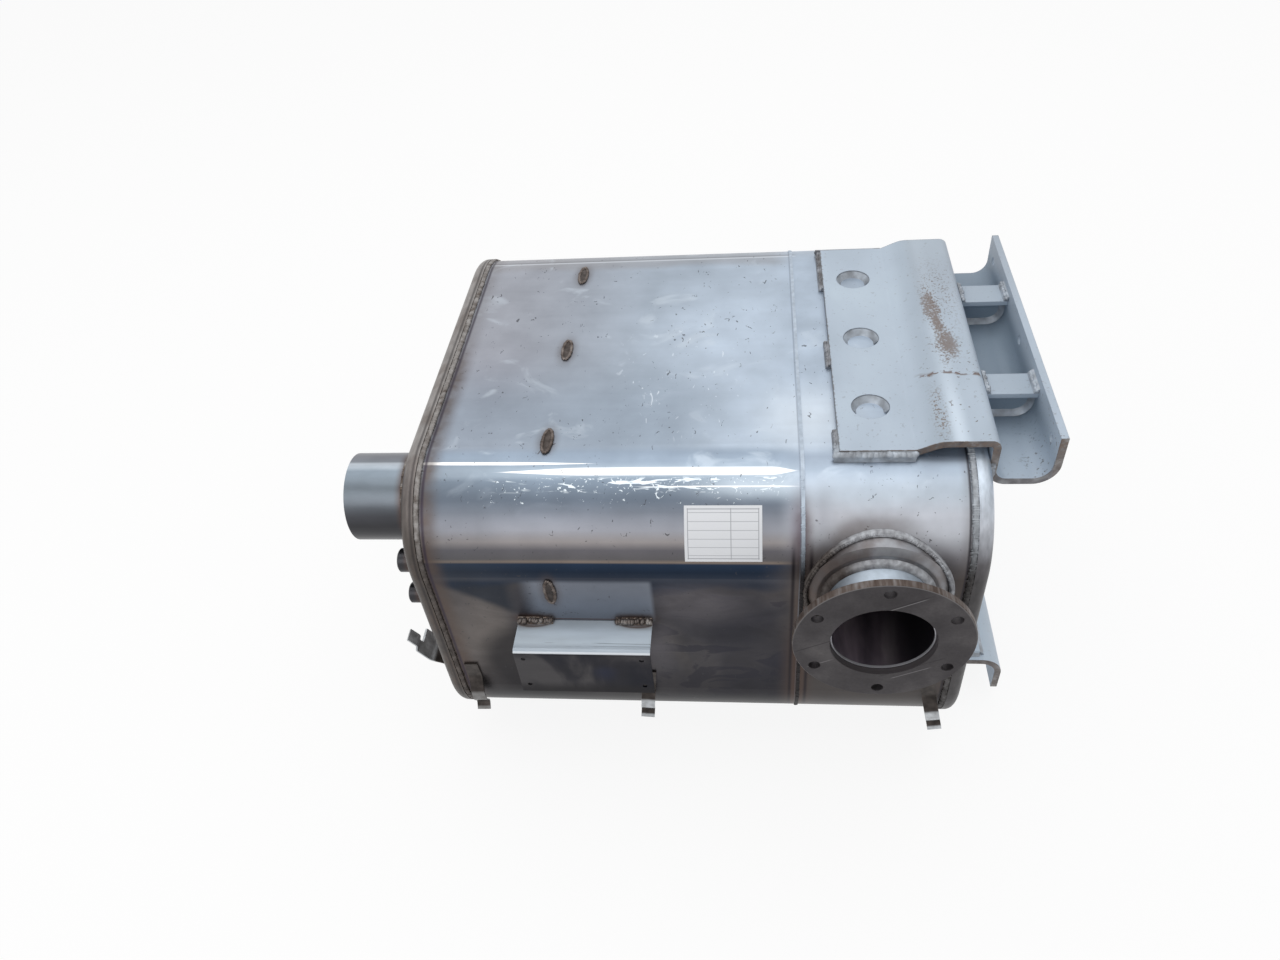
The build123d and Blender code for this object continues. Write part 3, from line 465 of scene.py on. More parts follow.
def inlet_steel():
    """The collar, browned from its weld inward, and the paint-coated neck behind the flange, both with painted light
    above and painted shade below; a painted shadow of the flange on the neck and painted shade in the bore.
    """
    g = Graph("inlet_steel")
    radius = g.distance(g.x, 0.0, g.z, 0.0)
    height = g.math("DIVIDE", g.z, FLANGE_R)
    # Painted light and shade: the collar lighter above and darker below.
    collar = g.ramp(g.band(height, -0.5, 0.9), [(0.0, (74, 70, 70)), (0.6, (132, 130, 132)),
                                                (1.0, (160, 162, 167))])
    # Painted highlight along the collar's shoulder.
    shoulder = g.near(radius, 0.069, 0.0035)
    collar = g.tint(collar, (150, 152, 158), shoulder, 0.6)
    collar = g.tint(collar, (72, 64, 61), g.band(g.x, -0.005, -0.055), 0.85)
    collar = g.tint(collar, (92, 76, 68), g.band(g.noise(40, detail=4, seed=9), 0.35, 0.7), 0.55)
    # Painted light and shade: the neck lighter above and darker below, with a painted shadow of the flange just
    # behind it.
    neck = g.ramp(g.band(height, -0.4, 0.62), [(0.0, (66, 66, 70)), (0.6, (116, 122, 130)),
                                               (1.0, (184, 196, 208))])
    neck = g.tint(neck, (58, 57, 60), g.band(g.y, 0.034, 0.026))
    tone = g.tint(collar, neck, g.band(radius, 0.057, 0.0562))
    tone = g.vary(tone, g.noise(110, detail=3, seed=10), 0.10)
    bore = g.ramp(g.noise(26, (1, 0.25, 1), detail=5, seed=34), [(0.35, (88, 80, 92)), (0.55, (158, 144, 156)),
                                                                 (0.7, (214, 202, 208))])
    # Painted shade deep in the bore, lit only on its left near the mouth.
    lit_side = g.product(g.band(g.x, 0.040, -0.040), g.band(g.y, 0.16, 0.02))
    bore = g.mix(lit_side, (30, 28, 33), bore)
    tone = g.tint(tone, bore, g.band(radius, 0.0538, 0.0532))
    ring = g.product(g.band(g.y, 0.0095, 0.0085), g.band(radius, 0.0520, 0.0523))
    tone = g.tint(tone, (92, 90, 95), ring)
    ring_light = g.product(g.band(g.y, 0.0098, 0.0090), g.near(radius, 0.0529, 0.0009))
    tone = g.tint(tone, (204, 205, 211), ring_light)
    return g.finish(tone, 0.6, 0.4)


# Slanting marks on the flange: offset across, start and end along, and whether one is light
TOOL_MARKS = [(0.049, -0.01, 0.075, False), (0.047, 0.02, 0.07, True), (0.028, -0.09, -0.02, False),
              (-0.002, -0.09, -0.055, True), (-0.052, -0.03, 0.05, False), (-0.061, -0.02, 0.03, True)]


def flange_steel():
    """A dark faced ring with slanting tool marks and a rusty rim."""
    g = Graph("flange_steel")
    radius = g.distance(g.x, 0.0, g.z, 0.0)
    shade = g.noise(22, detail=5, seed=12)
    tone = g.ramp(shade, [(0.3, (56, 53, 55)), (0.5, (68, 65, 67)), (0.72, (88, 85, 86))])
    across = g.plus(g.times(g.z, 0.88), g.times(g.x, -0.47))
    along = g.plus(g.times(g.x, 0.88), g.times(g.z, 0.47))
    for offset, start, end, light in TOOL_MARKS:
        mark = g.product(g.near(across, offset, 0.0009), g.band(along, start, start + 0.006),
                         g.band(along, end, end - 0.01), 0.75)
        tone = g.tint(tone, (132, 130, 132) if light else (38, 35, 38), mark)
    fine = g.noise(300, detail=2, seed=13)
    tone = g.vary(tone, fine, 0.08)
    edge_light = g.product(g.near(radius, FLANGE_R - 0.0008, 0.0012), g.band(g.z, -0.02, 0.05), 0.6)
    tone = g.tint(tone, (132, 130, 130), edge_light)
    rim = g.band(radius, FLANGE_R - 0.0008, FLANGE_R - 0.0002)
    rim_tone = g.ramp(g.noise(220, (1, 0.12, 1), detail=3, seed=16),
                      [(0.3, (66, 54, 48)), (0.5, (92, 82, 77)), (0.7, (122, 118, 117))])
    tone = g.tint(tone, rim_tone, rim)
    wall = g.product(g.band(radius, 0.0562, 0.0556), g.band(g.y, 0.0, 0.0006))
    tone = g.tint(tone, (84, 80, 82), wall)
    return g.finish(tone, 0.45, 0.5, bump=g.noise(200, detail=3, seed=17), bump_depth=0.0002, soft_edge=0.0008,
                    gloss=0.2)


def bracket_paint():
    """Thin pale blue-grey paint with raw brown cut edges, a rust smear, chips and pits; painted shade at the fold,
    in the holes, on the saddle's edge face and in the channel, and a painted highlight on top of the rise.
    """
    g = Graph("bracket_paint")
    shade = g.noise(10, (1, 0.6, 1), detail=4, seed=21)
    tone = g.ramp(shade, [(0.3, (168, 181, 194)), (0.5, (178, 191, 205)), (0.7, (186, 200, 213))])
    # Painted shade along the fold where the saddle rises.
    fold = g.product(g.near(g.x, 0.062, 0.02), g.band(g.z, TOP_Z + 0.004, TOP_Z + 0.008), 0.35)
    tone = g.tint(tone, (140, 152, 164), fold)
    # Painted highlight on top of the crown's rise.
    crest_highlight = g.product(g.near(g.x, 0.082, 0.014), g.band(g.z, TOP_Z + 0.012, TOP_Z + 0.018),
                      g.plus(g.band(g.y, 0.30, 0.18), 0.3), 0.6)
    tone = g.tint(tone, (212, 225, 238), crest_highlight)
    # Darker towards the back of the crown.
    back_darker = g.product(g.band(g.y, 0.34, 0.47), g.band(g.x, 0.06, 0.075), g.band(g.z, TOP_Z, TOP_Z + 0.01),
                          0.35)
    tone = g.tint(tone, (140, 146, 154), back_darker)
    specks = g.band(g.noise(230, detail=2, seed=22), 0.66, 0.70)
    speck_area = g.band(g.noise(9, detail=2, seed=27), 0.45, 0.62)
    on_crown = g.near(g.x, 0.086, 0.05)
    tone = g.tint(tone, (96, 86, 80), specks, g.plus(g.times(speck_area, on_crown), 0.25, clamp=True), 0.85)
    on_top = g.band(g.z, 0.12, 0.135)
    smear_heart = g.product(g.near(g.plus(g.x, g.times(g.y, 0.06)), 0.105, 0.021), g.near(g.y, 0.385, 0.12),
                            on_top)
    grain = g.noise(420, (1, 0.8, 1), detail=3, seed=23)
    patches = g.noise(60, (1, 0.35, 1), detail=5, seed=28)
    lower = g.product(g.near(g.distance(g.x, 0.089, g.times(g.y, 0.5), 0.160), 0.0, 0.031), on_top)
    cover = g.plus(g.times(g.greatest(smear_heart, lower), 0.62), g.times(g.minus(patches, 0.5), 0.9))
    smear = g.product(g.band(g.plus(cover, g.times(g.minus(grain, 0.5), 0.9)), 0.25, 0.55), on_top, on_crown)
    tone = g.tint(tone, (110, 94, 84), smear, 0.85)
    dust = g.product(g.near(g.x, 0.094, 0.03), g.near(g.y, 0.42, 0.11), on_top, g.band(grain, 0.56, 0.62), 0.9)
    tone = g.tint(tone, (112, 100, 94), g.math("MINIMUM", dust, 0.7))
    column = g.product(g.near(g.x, 0.066, 0.012), g.near(g.y, 0.2, 0.06), g.band(grain, 0.53, 0.6), on_top, 1.2)
    tone = g.tint(tone, (116, 102, 92), g.math("MINIMUM", column, 0.8))
    ragged = g.plus(g.y, g.times(g.minus(g.noise(70, seed=29), 0.5), 0.012))
    chips = g.product(g.near(ragged, 0.2655, 0.0045), g.band(g.x, 0.045, 0.06), on_top, g.band(g.x, 0.13, 0.12),
                      g.band(g.noise(150, (0.8, 1, 1), detail=4, seed=24), 0.47, 0.53))
    tone = g.tint(tone, (92, 66, 52), chips, 0.9)
    cut = g.greatest(g.band(g.y, BRACKET_LO[1] + 0.0006, BRACKET_LO[1] + 0.0001),
                     g.band(g.y, BRACKET_HI[1] - 0.0006, BRACKET_HI[1]))
    tone = g.tint(tone, (206, 219, 231), g.band(g.z, 0.0, -0.03), 0.4)
    raw = g.ramp(g.noise(90, detail=4, seed=25), [(0.3, (84, 76, 74)), (0.5, (112, 106, 104)),
                                                  (0.7, (150, 148, 148))])
    tone = g.tint(tone, raw, cut)
    flakes = g.noise(260, (0.7, 1, 1), detail=3, seed=54)
    front_edge = g.product(g.near(g.y, BRACKET_LO[1], 0.0016), on_top, g.band(flakes, 0.46, 0.52), 0.8)
    left_edge = g.product(g.near(g.x, BRACKET_LO[0], 0.0022), on_top, g.band(flakes, 0.50, 0.56), 0.8)
    tone = g.tint(tone, (112, 98, 90), g.greatest(front_edge, left_edge))
    outer_specks = g.product(g.near(g.x, 0.172, 0.026), g.band(flakes, 0.62, 0.66), g.band(g.y, 0.30, 0.16),
                             g.band(g.z, 0.0, 0.02), 0.85)
    tone = g.tint(tone, (96, 82, 74), outer_specks)
    # Painted shade on each hole's wall.
    for step in (-1, 0, 1):
        hole = g.distance(g.x, BRACKET_LO[0] + HOLE_FROM_EDGE, g.y, BRACKET_MIDDLE_Y + step * HOLE_PITCH)
        wall = g.product(g.band(hole, HOLE_R + 0.0004, HOLE_R + 0.0001),
                         g.band(g.z, TOP_Z + 0.0079, TOP_Z + 0.0076), 0.75)
        tone = g.tint(tone, g.ramp(flakes, [(0.4, (118, 118, 121)), (0.6, (160, 165, 171))]), wall)
    # Painted shade on the saddle's left edge face.
    edge_face_shade = g.product(g.band(g.x, BRACKET_LO[0] + 0.0008, BRACKET_LO[0] + 0.0002), 0.75)
    tone = g.tint(tone, (76, 76, 80), edge_face_shade)
    # Painted shade inside the channel, lighter towards the front.
    inside = g.product(g.band(g.x, BRACKET_HI[0] - 0.0068, BRACKET_HI[0] - 0.0078),
                       g.band(g.z, TOP_Z + 0.014, TOP_Z - 0.012), g.band(g.x, 0.12, 0.128), g.band(g.z, 0.0, 0.01),
                       g.plus(g.band(g.y, 0.16, 0.27), 0.35))
    tone = g.tint(tone, (122, 138, 153), inside, 0.58)
    return g.finish(tone, 0.1, 0.5, bump=g.noise(120, detail=3, seed=26), bump_depth=0.0003, soft_edge=0.0012)


def weld_steel(name, dark, light, brown):
    """As-welded bead: dark hollows, lighter crests and a brown tint."""
    g = Graph(name)
    shade = g.noise(120, detail=4, seed=31)
    tone = g.ramp(shade, [(0.3, dark), (0.5, brown), (0.7, light)])
    return g.finish(tone, 0.6, 0.36, bump=g.noise(400, detail=2, seed=32), bump_depth=0.0003)


def body_weld(name, above, below):
    """A bead round the box: lighter on top, browner down the front and darker there as a painted reflection like the
    shell's front.
    """
    g = Graph(name)
    shade = g.noise(120, detail=4, seed=36)
    # Lit and shaded copies: the darker one down the front is a painted reflection.
    top = g.ramp(shade, [(0.3, above[0]), (0.7, above[1])])
    low = g.ramp(shade, [(0.3, below[0]), (0.7, below[1])])
    return g.finish(g.mix(g.band(g.z, TOP_Z - 0.03, CORNER_Z), top, low), 0.3, 0.5, gloss=0.2)


def collar_weld():
    """The inlet's beads: light grey at the upper right, brown at the left and below."""
    g = Graph("collar_weld")
    shade = g.noise(150, detail=4, seed=46)
    light = g.ramp(shade, [(0.3, (124, 124, 128)), (0.7, (186, 189, 194))])
    brown = g.ramp(shade, [(0.3, (58, 51, 48)), (0.7, (94, 88, 85))])
    side = g.band(g.plus(g.times(g.x, 0.9), g.z), 0.004, 0.056)
    return g.finish(g.mix(side, brown, light), 0.3, 0.45, gloss=0.2)


def bracket_weld():
    """Painted over with its bracket, but dark along the saddle's edge."""
    g = Graph("painted_weld")
    shade = g.noise(70, detail=3, seed=45)
    tone = g.ramp(shade, [(0.3, (128, 132, 138)), (0.7, (184, 193, 203))])
    stitch = g.product(g.band(g.x, BRACKET_LO[0] + 0.0015, BRACKET_LO[0] - 0.0005),
                       g.band(g.y, BRACKET_LO[1], BRACKET_LO[1] + 0.03))
    tone = g.tint(tone, g.ramp(shade, [(0.35, (84, 80, 80)), (0.65, (140, 142, 148))]), stitch, 0.85)
    return g.finish(tone, 0.3, 0.42)


def bracket_sheet():
    """The front bracket: soft grey top, a painted highlight on the fold, and a dark face painted as a reflection of
    the floor.
    """
    g = Graph("bracket_sheet")
    lo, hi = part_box("front_bracket")
    top_tone = g.ramp(g.band(g.y, hi[1], lo[1]), [(0.0, (176, 186, 195)), (0.35, (204, 216, 227)),
                                                  (0.8, (206, 218, 228)), (1.0, (170, 180, 190))])
    heat = g.product(g.greatest(g.near(g.x, lo[0] + 0.016, 0.03), g.near(g.x, hi[0] - 0.016, 0.03)),
                     g.band(g.y, hi[1] - 0.016, hi[1] - 0.006))
    top_tone = g.tint(top_tone, (96, 78, 68), heat, 0.8)
    # Painted reflection: the dark face mirrors the floor, in patches.
    patches = g.noise(15, (1, 1, 0.7), detail=5, seed=41, distortion=0.8)
    face_tone = g.ramp(patches, [(0.36, (16, 18, 30)), (0.5, (38, 37, 43)), (0.64, (68, 66, 68))])
    face_tone = g.tint(face_tone, (24, 22, 25), g.band(g.z, lo[2] + 0.022, lo[2] + 0.004), 0.8)
    # Painted highlight along the fold.
    fold_highlight = (216, 221, 227)
    wander = g.times(g.minus(g.noise(9, seed=47), 0.5), 0.004)
    fold_lines = g.greatest(g.near(g.plus(g.y, wander), lo[1] + 0.013, 0.0007),
                            g.near(g.minus(g.y, wander), lo[1] + 0.009, 0.0006))
    top_tone = g.tint(top_tone, (92, 98, 106), fold_lines, g.band(g.noise(40, (0.5, 1, 1), seed=48), 0.4, 0.5),
                      0.7)
    middles = (lo[0] + 0.018, hi[0] - 0.018)
    ovals = [g.distance(g.times(g.x, 0.42), 0.42 * middle, g.y, hi[1]) for middle in middles]
    outline = g.greatest(*[g.near(oval, 0.0095, 0.0022) for oval in ovals])
    top_tone = g.tint(top_tone, (86, 68, 58), outline, 0.75)
    # Painted reflection: a blue patch on the face.
    blue = g.near(g.distance(g.x, -0.305, g.z, -0.095), 0.0, 0.022)
    face_tone = g.tint(face_tone, (30, 36, 58), blue, 0.7)
    tone = g.tint(top_tone, fold_highlight, g.band(g.z, hi[2] - 0.0012, hi[2] - 0.0022))
    tone = g.tint(tone, face_tone, g.band(g.z, hi[2] - 0.0032, hi[2] - 0.0044))
    tone = g.vary(tone, g.noise(70, (0.2, 1, 1), detail=3, seed=42), 0.08)
    return g.finish(tone, 0.25, 0.4, gloss=0.12)


def hook_steel():
    """Bent strip: dark brown where it lies on the box, partly as a painted reflection like the front's; a painted
    highlight at its hook.
    """
    g = Graph("hook_steel")
    shade = g.noise(90, detail=4, seed=43)
    # Partly a painted reflection: the strip lies dark like the front under it.
    foot = g.ramp(shade, [(0.3, (44, 40, 38)), (0.7, (78, 72, 69))])
    # Painted highlight on the hook's curl.
    hook = g.ramp(shade, [(0.3, (150, 152, 154)), (0.7, (205, 209, 213))])
    low = g.greatest(g.band(g.y, FRONT_Y - 0.0120, FRONT_Y - 0.0138),
                     g.band(g.x, CAP_FACE_X - 0.014, CAP_FACE_X - 0.020))
    hook = g.tint(hook, (92, 87, 82), g.band(g.x, -0.36, -0.42), g.band(g.x, CAP_FACE_X, CAP_FACE_X + 0.01), 0.75)
    return g.finish(g.mix(low, foot, hook), 0.5, 0.3, gloss=0.2)


def label_paper():
    """White film ruled as a table, with nothing written in it."""
    g = Graph("label_paper")
    lo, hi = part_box("label")
    across = g.math("DIVIDE", g.minus(g.x, lo[0]), hi[0] - lo[0])
    turn = g.math("ARCTAN2", g.minus(CORNER_Y, g.y), g.minus(g.z, CORNER_Z))
    down = g.math("DIVIDE", g.minus(turn, LABEL_START), LABEL_ARC)
    inner = g.product(g.band(across, 0.035, 0.045), g.band(across, 0.965, 0.955), g.band(down, 0.045, 0.06),
                      g.band(down, 0.955, 0.94))
    rows = g.near(g.math("MODULO", g.minus(g.times(down, 6.6), 0.3), 1.0), 0.5, 0.05)
    frame_lines = [g.near(across, at, 0.009) for at in (0.045, 0.6, 0.955)]
    frame_lines += [g.near(down, at, 0.014) for at in (0.06, 0.94)]
    lines = g.math("MAXIMUM", g.product(rows, inner), g.greatest(*frame_lines))
    lines = g.product(lines, g.band(across, 0.03, 0.04), g.band(across, 0.97, 0.96), g.band(down, 0.04, 0.05),
                      g.band(down, 0.96, 0.95))
    tone = g.mix(g.product(lines, 0.75), (224, 226, 230), (112, 114, 122))
    return g.finish(tone, 0.0, 0.45)


def plain_inside(name, dark, light):
    """What lies inside the box, hardly more than one colour."""
    g = Graph(name)
    shade = g.noise(60, seed=51)
    tone = g.ramp(shade, [(0.3, dark), (0.7, light)])
    return g.finish(tone, 0.3, 0.6)


MATERIALS = {
    "body_steel": body_steel(),
    "cap_steel": cap_steel(),
    "pipe_steel": pipe_steel(),
    "inlet_steel": inlet_steel(),
    "flange_steel": flange_steel(),
    "bracket_paint": bracket_paint(),
    "bracket_sheet": bracket_sheet(),
    "hook_steel": hook_steel(),
    "label_paper": label_paper(),
    "seam_weld": body_weld("seam_weld", ((90, 82, 77), (160, 157, 155)), ((54, 48, 45), (98, 91, 87))),
    "edge_weld": body_weld("edge_weld", ((138, 142, 147), (180, 186, 193)), ((46, 43, 42), (98, 96, 96))),
    "joint_weld": body_weld("joint_weld", ((166, 177, 190), (190, 202, 215)), ((16, 14, 15), (44, 40, 42))),
    "collar_weld": collar_weld(),
    "painted_weld": bracket_weld(),
    "bead_core": weld_steel("bead_core", (64, 56, 52), (138, 134, 131), (98, 90, 86)),
    "plug_core": weld_steel("plug_core", (40, 34, 32), (84, 76, 72), (62, 54, 50)),
    "brown_weld": weld_steel("brown_weld", (74, 62, 56), (150, 146, 142), (106, 94, 86)),
    "plug_weld": weld_steel("plug_weld", (64, 55, 50), (124, 116, 112), (92, 82, 77)),
    "inner_steel": plain_inside("inner_steel", (92, 90, 88), (104.4, 102.1, 99.9)),
    "fibre": plain_inside("fibre", (200, 196, 186), (225.3, 220.8, 209.6)),
    "ceramic": plain_inside("ceramic", (186, 172, 150), (209.6, 193.9, 169.4)),
}
LOOKS = {
    "body_steel": ["shell_main", "shell_inlet"],
    "cap_steel": ["end_cap_outlet", "end_cap_inlet"],
    "pipe_steel": ["outlet_pipe", "sensor_boss_upper", "sensor_boss_lower"],
    "inlet_steel": ["inlet_pipe", "inlet_collar"],
    "flange_steel": ["inlet_flange"],
    "bracket_paint": ["bracket_top", "bracket_top_bars", "bracket_top_ribs", "bracket_bottom",
                      "bracket_bottom_bars", "bracket_bottom_ribs", "bracket_bottom_strip"],
    "bracket_sheet": ["front_bracket"],
    "hook_steel": ["front_hooks", "end_hook"],
    "label_paper": ["label"],
    "seam_weld": ["seam_weld_outlet"],
    "edge_weld": ["seam_weld_inlet"],
    "joint_weld": ["joint_weld"],
    "collar_weld": ["collar_foot_weld", "collar_neck_weld"],
    "brown_weld": ["outlet_weld", "boss_welds", "front_bracket_welds"],
    "painted_weld": ["bracket_top_welds", "bracket_bottom_welds", "bracket_bottom_strip_welds"],
    "plug_core": ["plug_welds"],
    "inner_steel": ["baffle_outlet", "baffle_inlet", "catalyst_cans"],
    "fibre": ["catalyst_mats"],
    "ceramic": ["catalyst_bricks"],
}
for look, nodes in LOOKS.items():
    for node in nodes:
        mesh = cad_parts[node].data
        mesh.materials.clear()
        mesh.materials.append(MATERIALS[look])


# Weld ripples
def ripple_tree():
    """Lays overlapping scales along a path whose points carry the way out of the metal."""
    tree = bpy.data.node_groups.new("weld_ripples", "GeometryNodeTree")
    for name, kind in (("Path", "Geometry"), ("Pitch", "Float"), ("Size", "Vector"), ("Uneven", "Float"),
                       ("Seed", "Int"), ("Material", "Material")):
        tree.interface.new_socket(name, in_out="INPUT", socket_type="NodeSocket" + kind)
    tree.interface.new_socket("Ripples", in_out="OUTPUT", socket_type="NodeSocketGeometry")
    given = tree.nodes.new("NodeGroupInput").outputs

    def add(kind, inputs, **settings):
        return add_node(tree, kind, inputs, **settings)

    curve = add("GeometryNodeMeshToCurve", {"Mesh": given["Path"]})[0]
    even = add("GeometryNodeResampleCurve", {"Curve": curve, "Length": given["Pitch"]}, mode="LENGTH")[0]
    either_way = {0: (-0.5, -0.5, -0.5), 1: (0.5, 0.5, 0.5), "Seed": given["Seed"]}
    stray = add("FunctionNodeRandomValue", either_way, data_type="FLOAT_VECTOR")[0]
    reach = add("ShaderNodeMath", {0: given["Pitch"], 1: given["Uneven"]}, operation="MULTIPLY")[0]
    offset = add("ShaderNodeVectorMath", {0: stray, "Scale": reach}, operation="SCALE")[0]
    points = add("GeometryNodeSetPosition", {"Geometry": even, "Offset": offset})[0]
    away = add("GeometryNodeInputNamedAttribute", {"Name": "away"}, data_type="FLOAT_VECTOR")[0]
    along = add("GeometryNodeInputTangent", {})[0]
    upright = add("FunctionNodeAlignRotationToVector", {"Vector": away}, axis="Z")[0]
    turned = add("FunctionNodeAlignRotationToVector", {"Rotation": upright, "Vector": along},
                 axis="X", pivot_axis="Z")[0]
    spread = add("FunctionNodeRandomValue", {2: 0.8, 3: 1.15, "Seed": given["Seed"]})[1]
    scale = add("ShaderNodeVectorMath", {0: given["Size"], "Scale": spread}, operation="SCALE")[0]
    ball = add("GeometryNodeMeshIcoSphere", {"Radius": 0.5, "Subdivisions": 2})["Mesh"]
    scales = add("GeometryNodeInstanceOnPoints",
                 {"Points": points, "Instance": ball, "Rotation": turned, "Scale": scale})[0]
    real = add("GeometryNodeRealizeInstances", {0: scales})[0]
    smooth = add("GeometryNodeSetShadeSmooth", {0: real})[0]
    dressed = add("GeometryNodeSetMaterial", {"Geometry": smooth, "Material": given["Material"]})[0]
    add("NodeGroupOutput", {0: dressed})
    return tree


def lay_ripples(name, paths, size, look, seed, pitch, uneven):
    """Makes one plain mesh of ripples; each path is a list of (place, way out)."""
    places, ways, edges = [], [], []
    for path in paths:
        edges += [(len(places) + index, len(places) + index + 1) for index in range(len(path) - 1)]
        places += [place for place, _ in path]
        ways += [way for _, way in path]
    line = bpy.data.meshes.new(name + "_path")
    line.from_pydata(places, edges, [])
    line.attributes.new("away", "FLOAT_VECTOR", "POINT").data.foreach_set("vector",
                                                                          [c for way in ways for c in way])
    maker = bpy.data.objects.new(name + "_path", line)
    bpy.context.collection.objects.link(maker)
    modifier = maker.modifiers.new("ripples", "NODES")
    modifier.node_group = RIPPLES
    values = {"Pitch": pitch, "Size": size, "Uneven": uneven, "Seed": seed, "Material": MATERIALS[look]}
    for item in RIPPLES.interface.items_tree:
        if item.name in values:
            modifier[item.identifier] = values[item.name]
    shown = maker.evaluated_get(bpy.context.evaluated_depsgraph_get())
    piece = bpy.data.objects.new(name, bpy.data.meshes.new_from_object(shown))
    bpy.data.objects.remove(maker)
    bpy.context.collection.objects.link(piece)
    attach(piece, "root")


def body_loop(x, out):
    """A closed path round the box, from the middle of its top over the front."""
    path = []
    for quarter, (side_y, side_z) in enumerate(((-1, 1), (-1, -1), (1, -1), (1, 1))):
        centre_y = CORNER_Y if side_y < 0 else BACK_Y - CORNER_R
        centre_z = CORNER_Z if side_z > 0 else BOTTOM_Z + CORNER_R
        for step in range(13):
            angle = radians(90 * quarter + 7.5 * step)
            way = (0.0, -sin(angle), cos(angle))
            path.append(((x, centre_y + way[1] * (CORNER_R + out), centre_z + way[2] * (CORNER_R + out)), way))
    return path + path[:1]


def front_surface(z):
    """Y of the shell's front at a height, and its slope round the corner."""
    rise = max(z - CORNER_Z, 0.0)
    return CORNER_Y - (CORNER_R ** 2 - rise ** 2) ** 0.5, rise / CORNER_R


def collar_ring(radius, out):
    """The part of a ring on the shell's front, round the inlet, that lies right of the shells' joint."""
    path = []
    for step in range(-60, 61):
        angle = radians(3.0 * step)
        x, z = radius * cos(angle), radius * sin(angle)
        if x < JOINT_X + 0.0035:
            continue
        y, slope = front_surface(z)
        path.append(((x, y - out, z), Vector((cos(angle), -1.0, sin(angle) + slope)).normalized()))
    return path


def ring_y(radius, y):
    """A closed ring round the inlet's axis."""
    path = []
    for step in range(73):
        angle = radians(5.0 * step)
        way = Vector((cos(angle), -1.0, sin(angle))).normalized()
        path.append(((radius * cos(angle), y, radius * sin(angle)), way))
    return path


def ring_x(centre_y, centre_z, radius, x):
    """A closed ring round an axis along X, on the left cap's face."""
    path = []
    for step in range(73):
        angle = radians(5.0 * step)
        way = Vector((-1.0, cos(angle), sin(angle))).normalized()
        path.append(((x, centre_y + radius * cos(angle), centre_z + radius * sin(angle)), way))
    return path


def solids_of(node):
    """The box of each separate solid in a CAD node."""
    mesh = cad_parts[node].data
    keys = [tuple(round(c * 20000) for c in vertex.co) for vertex in mesh.vertices]
    parent = {key: key for key in keys}

    def top(key):
        while parent[key] != key:
            parent[key] = parent[parent[key]]
            key = parent[key]
        return key

    for edge in mesh.edges:
        parent[top(keys[edge.vertices[0]])] = top(keys[edge.vertices[1]])
    boxes = {}
    for key, vertex in zip(keys, mesh.vertices):
        lo, hi = boxes.setdefault(top(key), (list(vertex.co), list(vertex.co)))
        for axis in range(3):
            lo[axis] = min(lo[axis], vertex.co[axis])
            hi[axis] = max(hi[axis], vertex.co[axis])
    return [(Vector(lo), Vector(hi)) for lo, hi in boxes.values()]


def straight_beads(node):
    """A path down the middle of each straight bead of a node."""
    found = []
    for lo, hi in solids_of(node):
        spans = hi - lo
        longest = max(range(3), key=lambda axis: spans[axis])
        across = [axis for axis in range(3) if axis != longest]
        if max(spans[axis] for axis in across) > 0.013 or spans[longest] < 0.012:
            continue
        start, end = (lo + hi) / 2, (lo + hi) / 2
        start[longest] = lo[longest] + 0.0015
        end[longest] = hi[longest] - 0.0015
        way = Vector((0, 0, 1)) if longest != 2 else Vector((0, -1, 0))
        found.append([(start, way), (end, way)])
    return found


def plug_paths():
    """An oval round the middle of each plug weld, just proud of the sheet."""
    ovals = []
    for lo, hi in solids_of("plug_welds"):
        centre = (lo + hi) / 2
        flat = min((1, 2), key=lambda axis: hi[axis] - lo[axis])
        long_axis = 3 - flat
        way = Vector((0, 0, 0))
        middle = (0.0, MIDDLE_Y, MIDDLE_Z)[flat]
        way[flat] = 1.0 if centre[flat] > middle else -1.0
        reach = (hi[long_axis] - lo[long_axis]) / 2 + 0.0026
        oval = []
        for step in range(33):
            angle = radians(11.25 * step)
            place = centre.copy()
            place[flat] = (hi if way[flat] > 0 else lo)[flat]
            place[0] += 0.0054 * cos(angle)
            place[long_axis] += reach * sin(angle)
            oval.append((place, way))
        ovals.append(oval)
    return ovals


def end_run():
    """A path along the upper bracket's front edge, on its left part."""
    y, z = BRACKET_LO[1] - 0.0028, TOP_Z + 0.0042
    return [((BRACKET_LO[0] - 0.001 + 0.080 * step / 8, y, z), (0.0, -0.7, 0.7)) for step in range(9)]


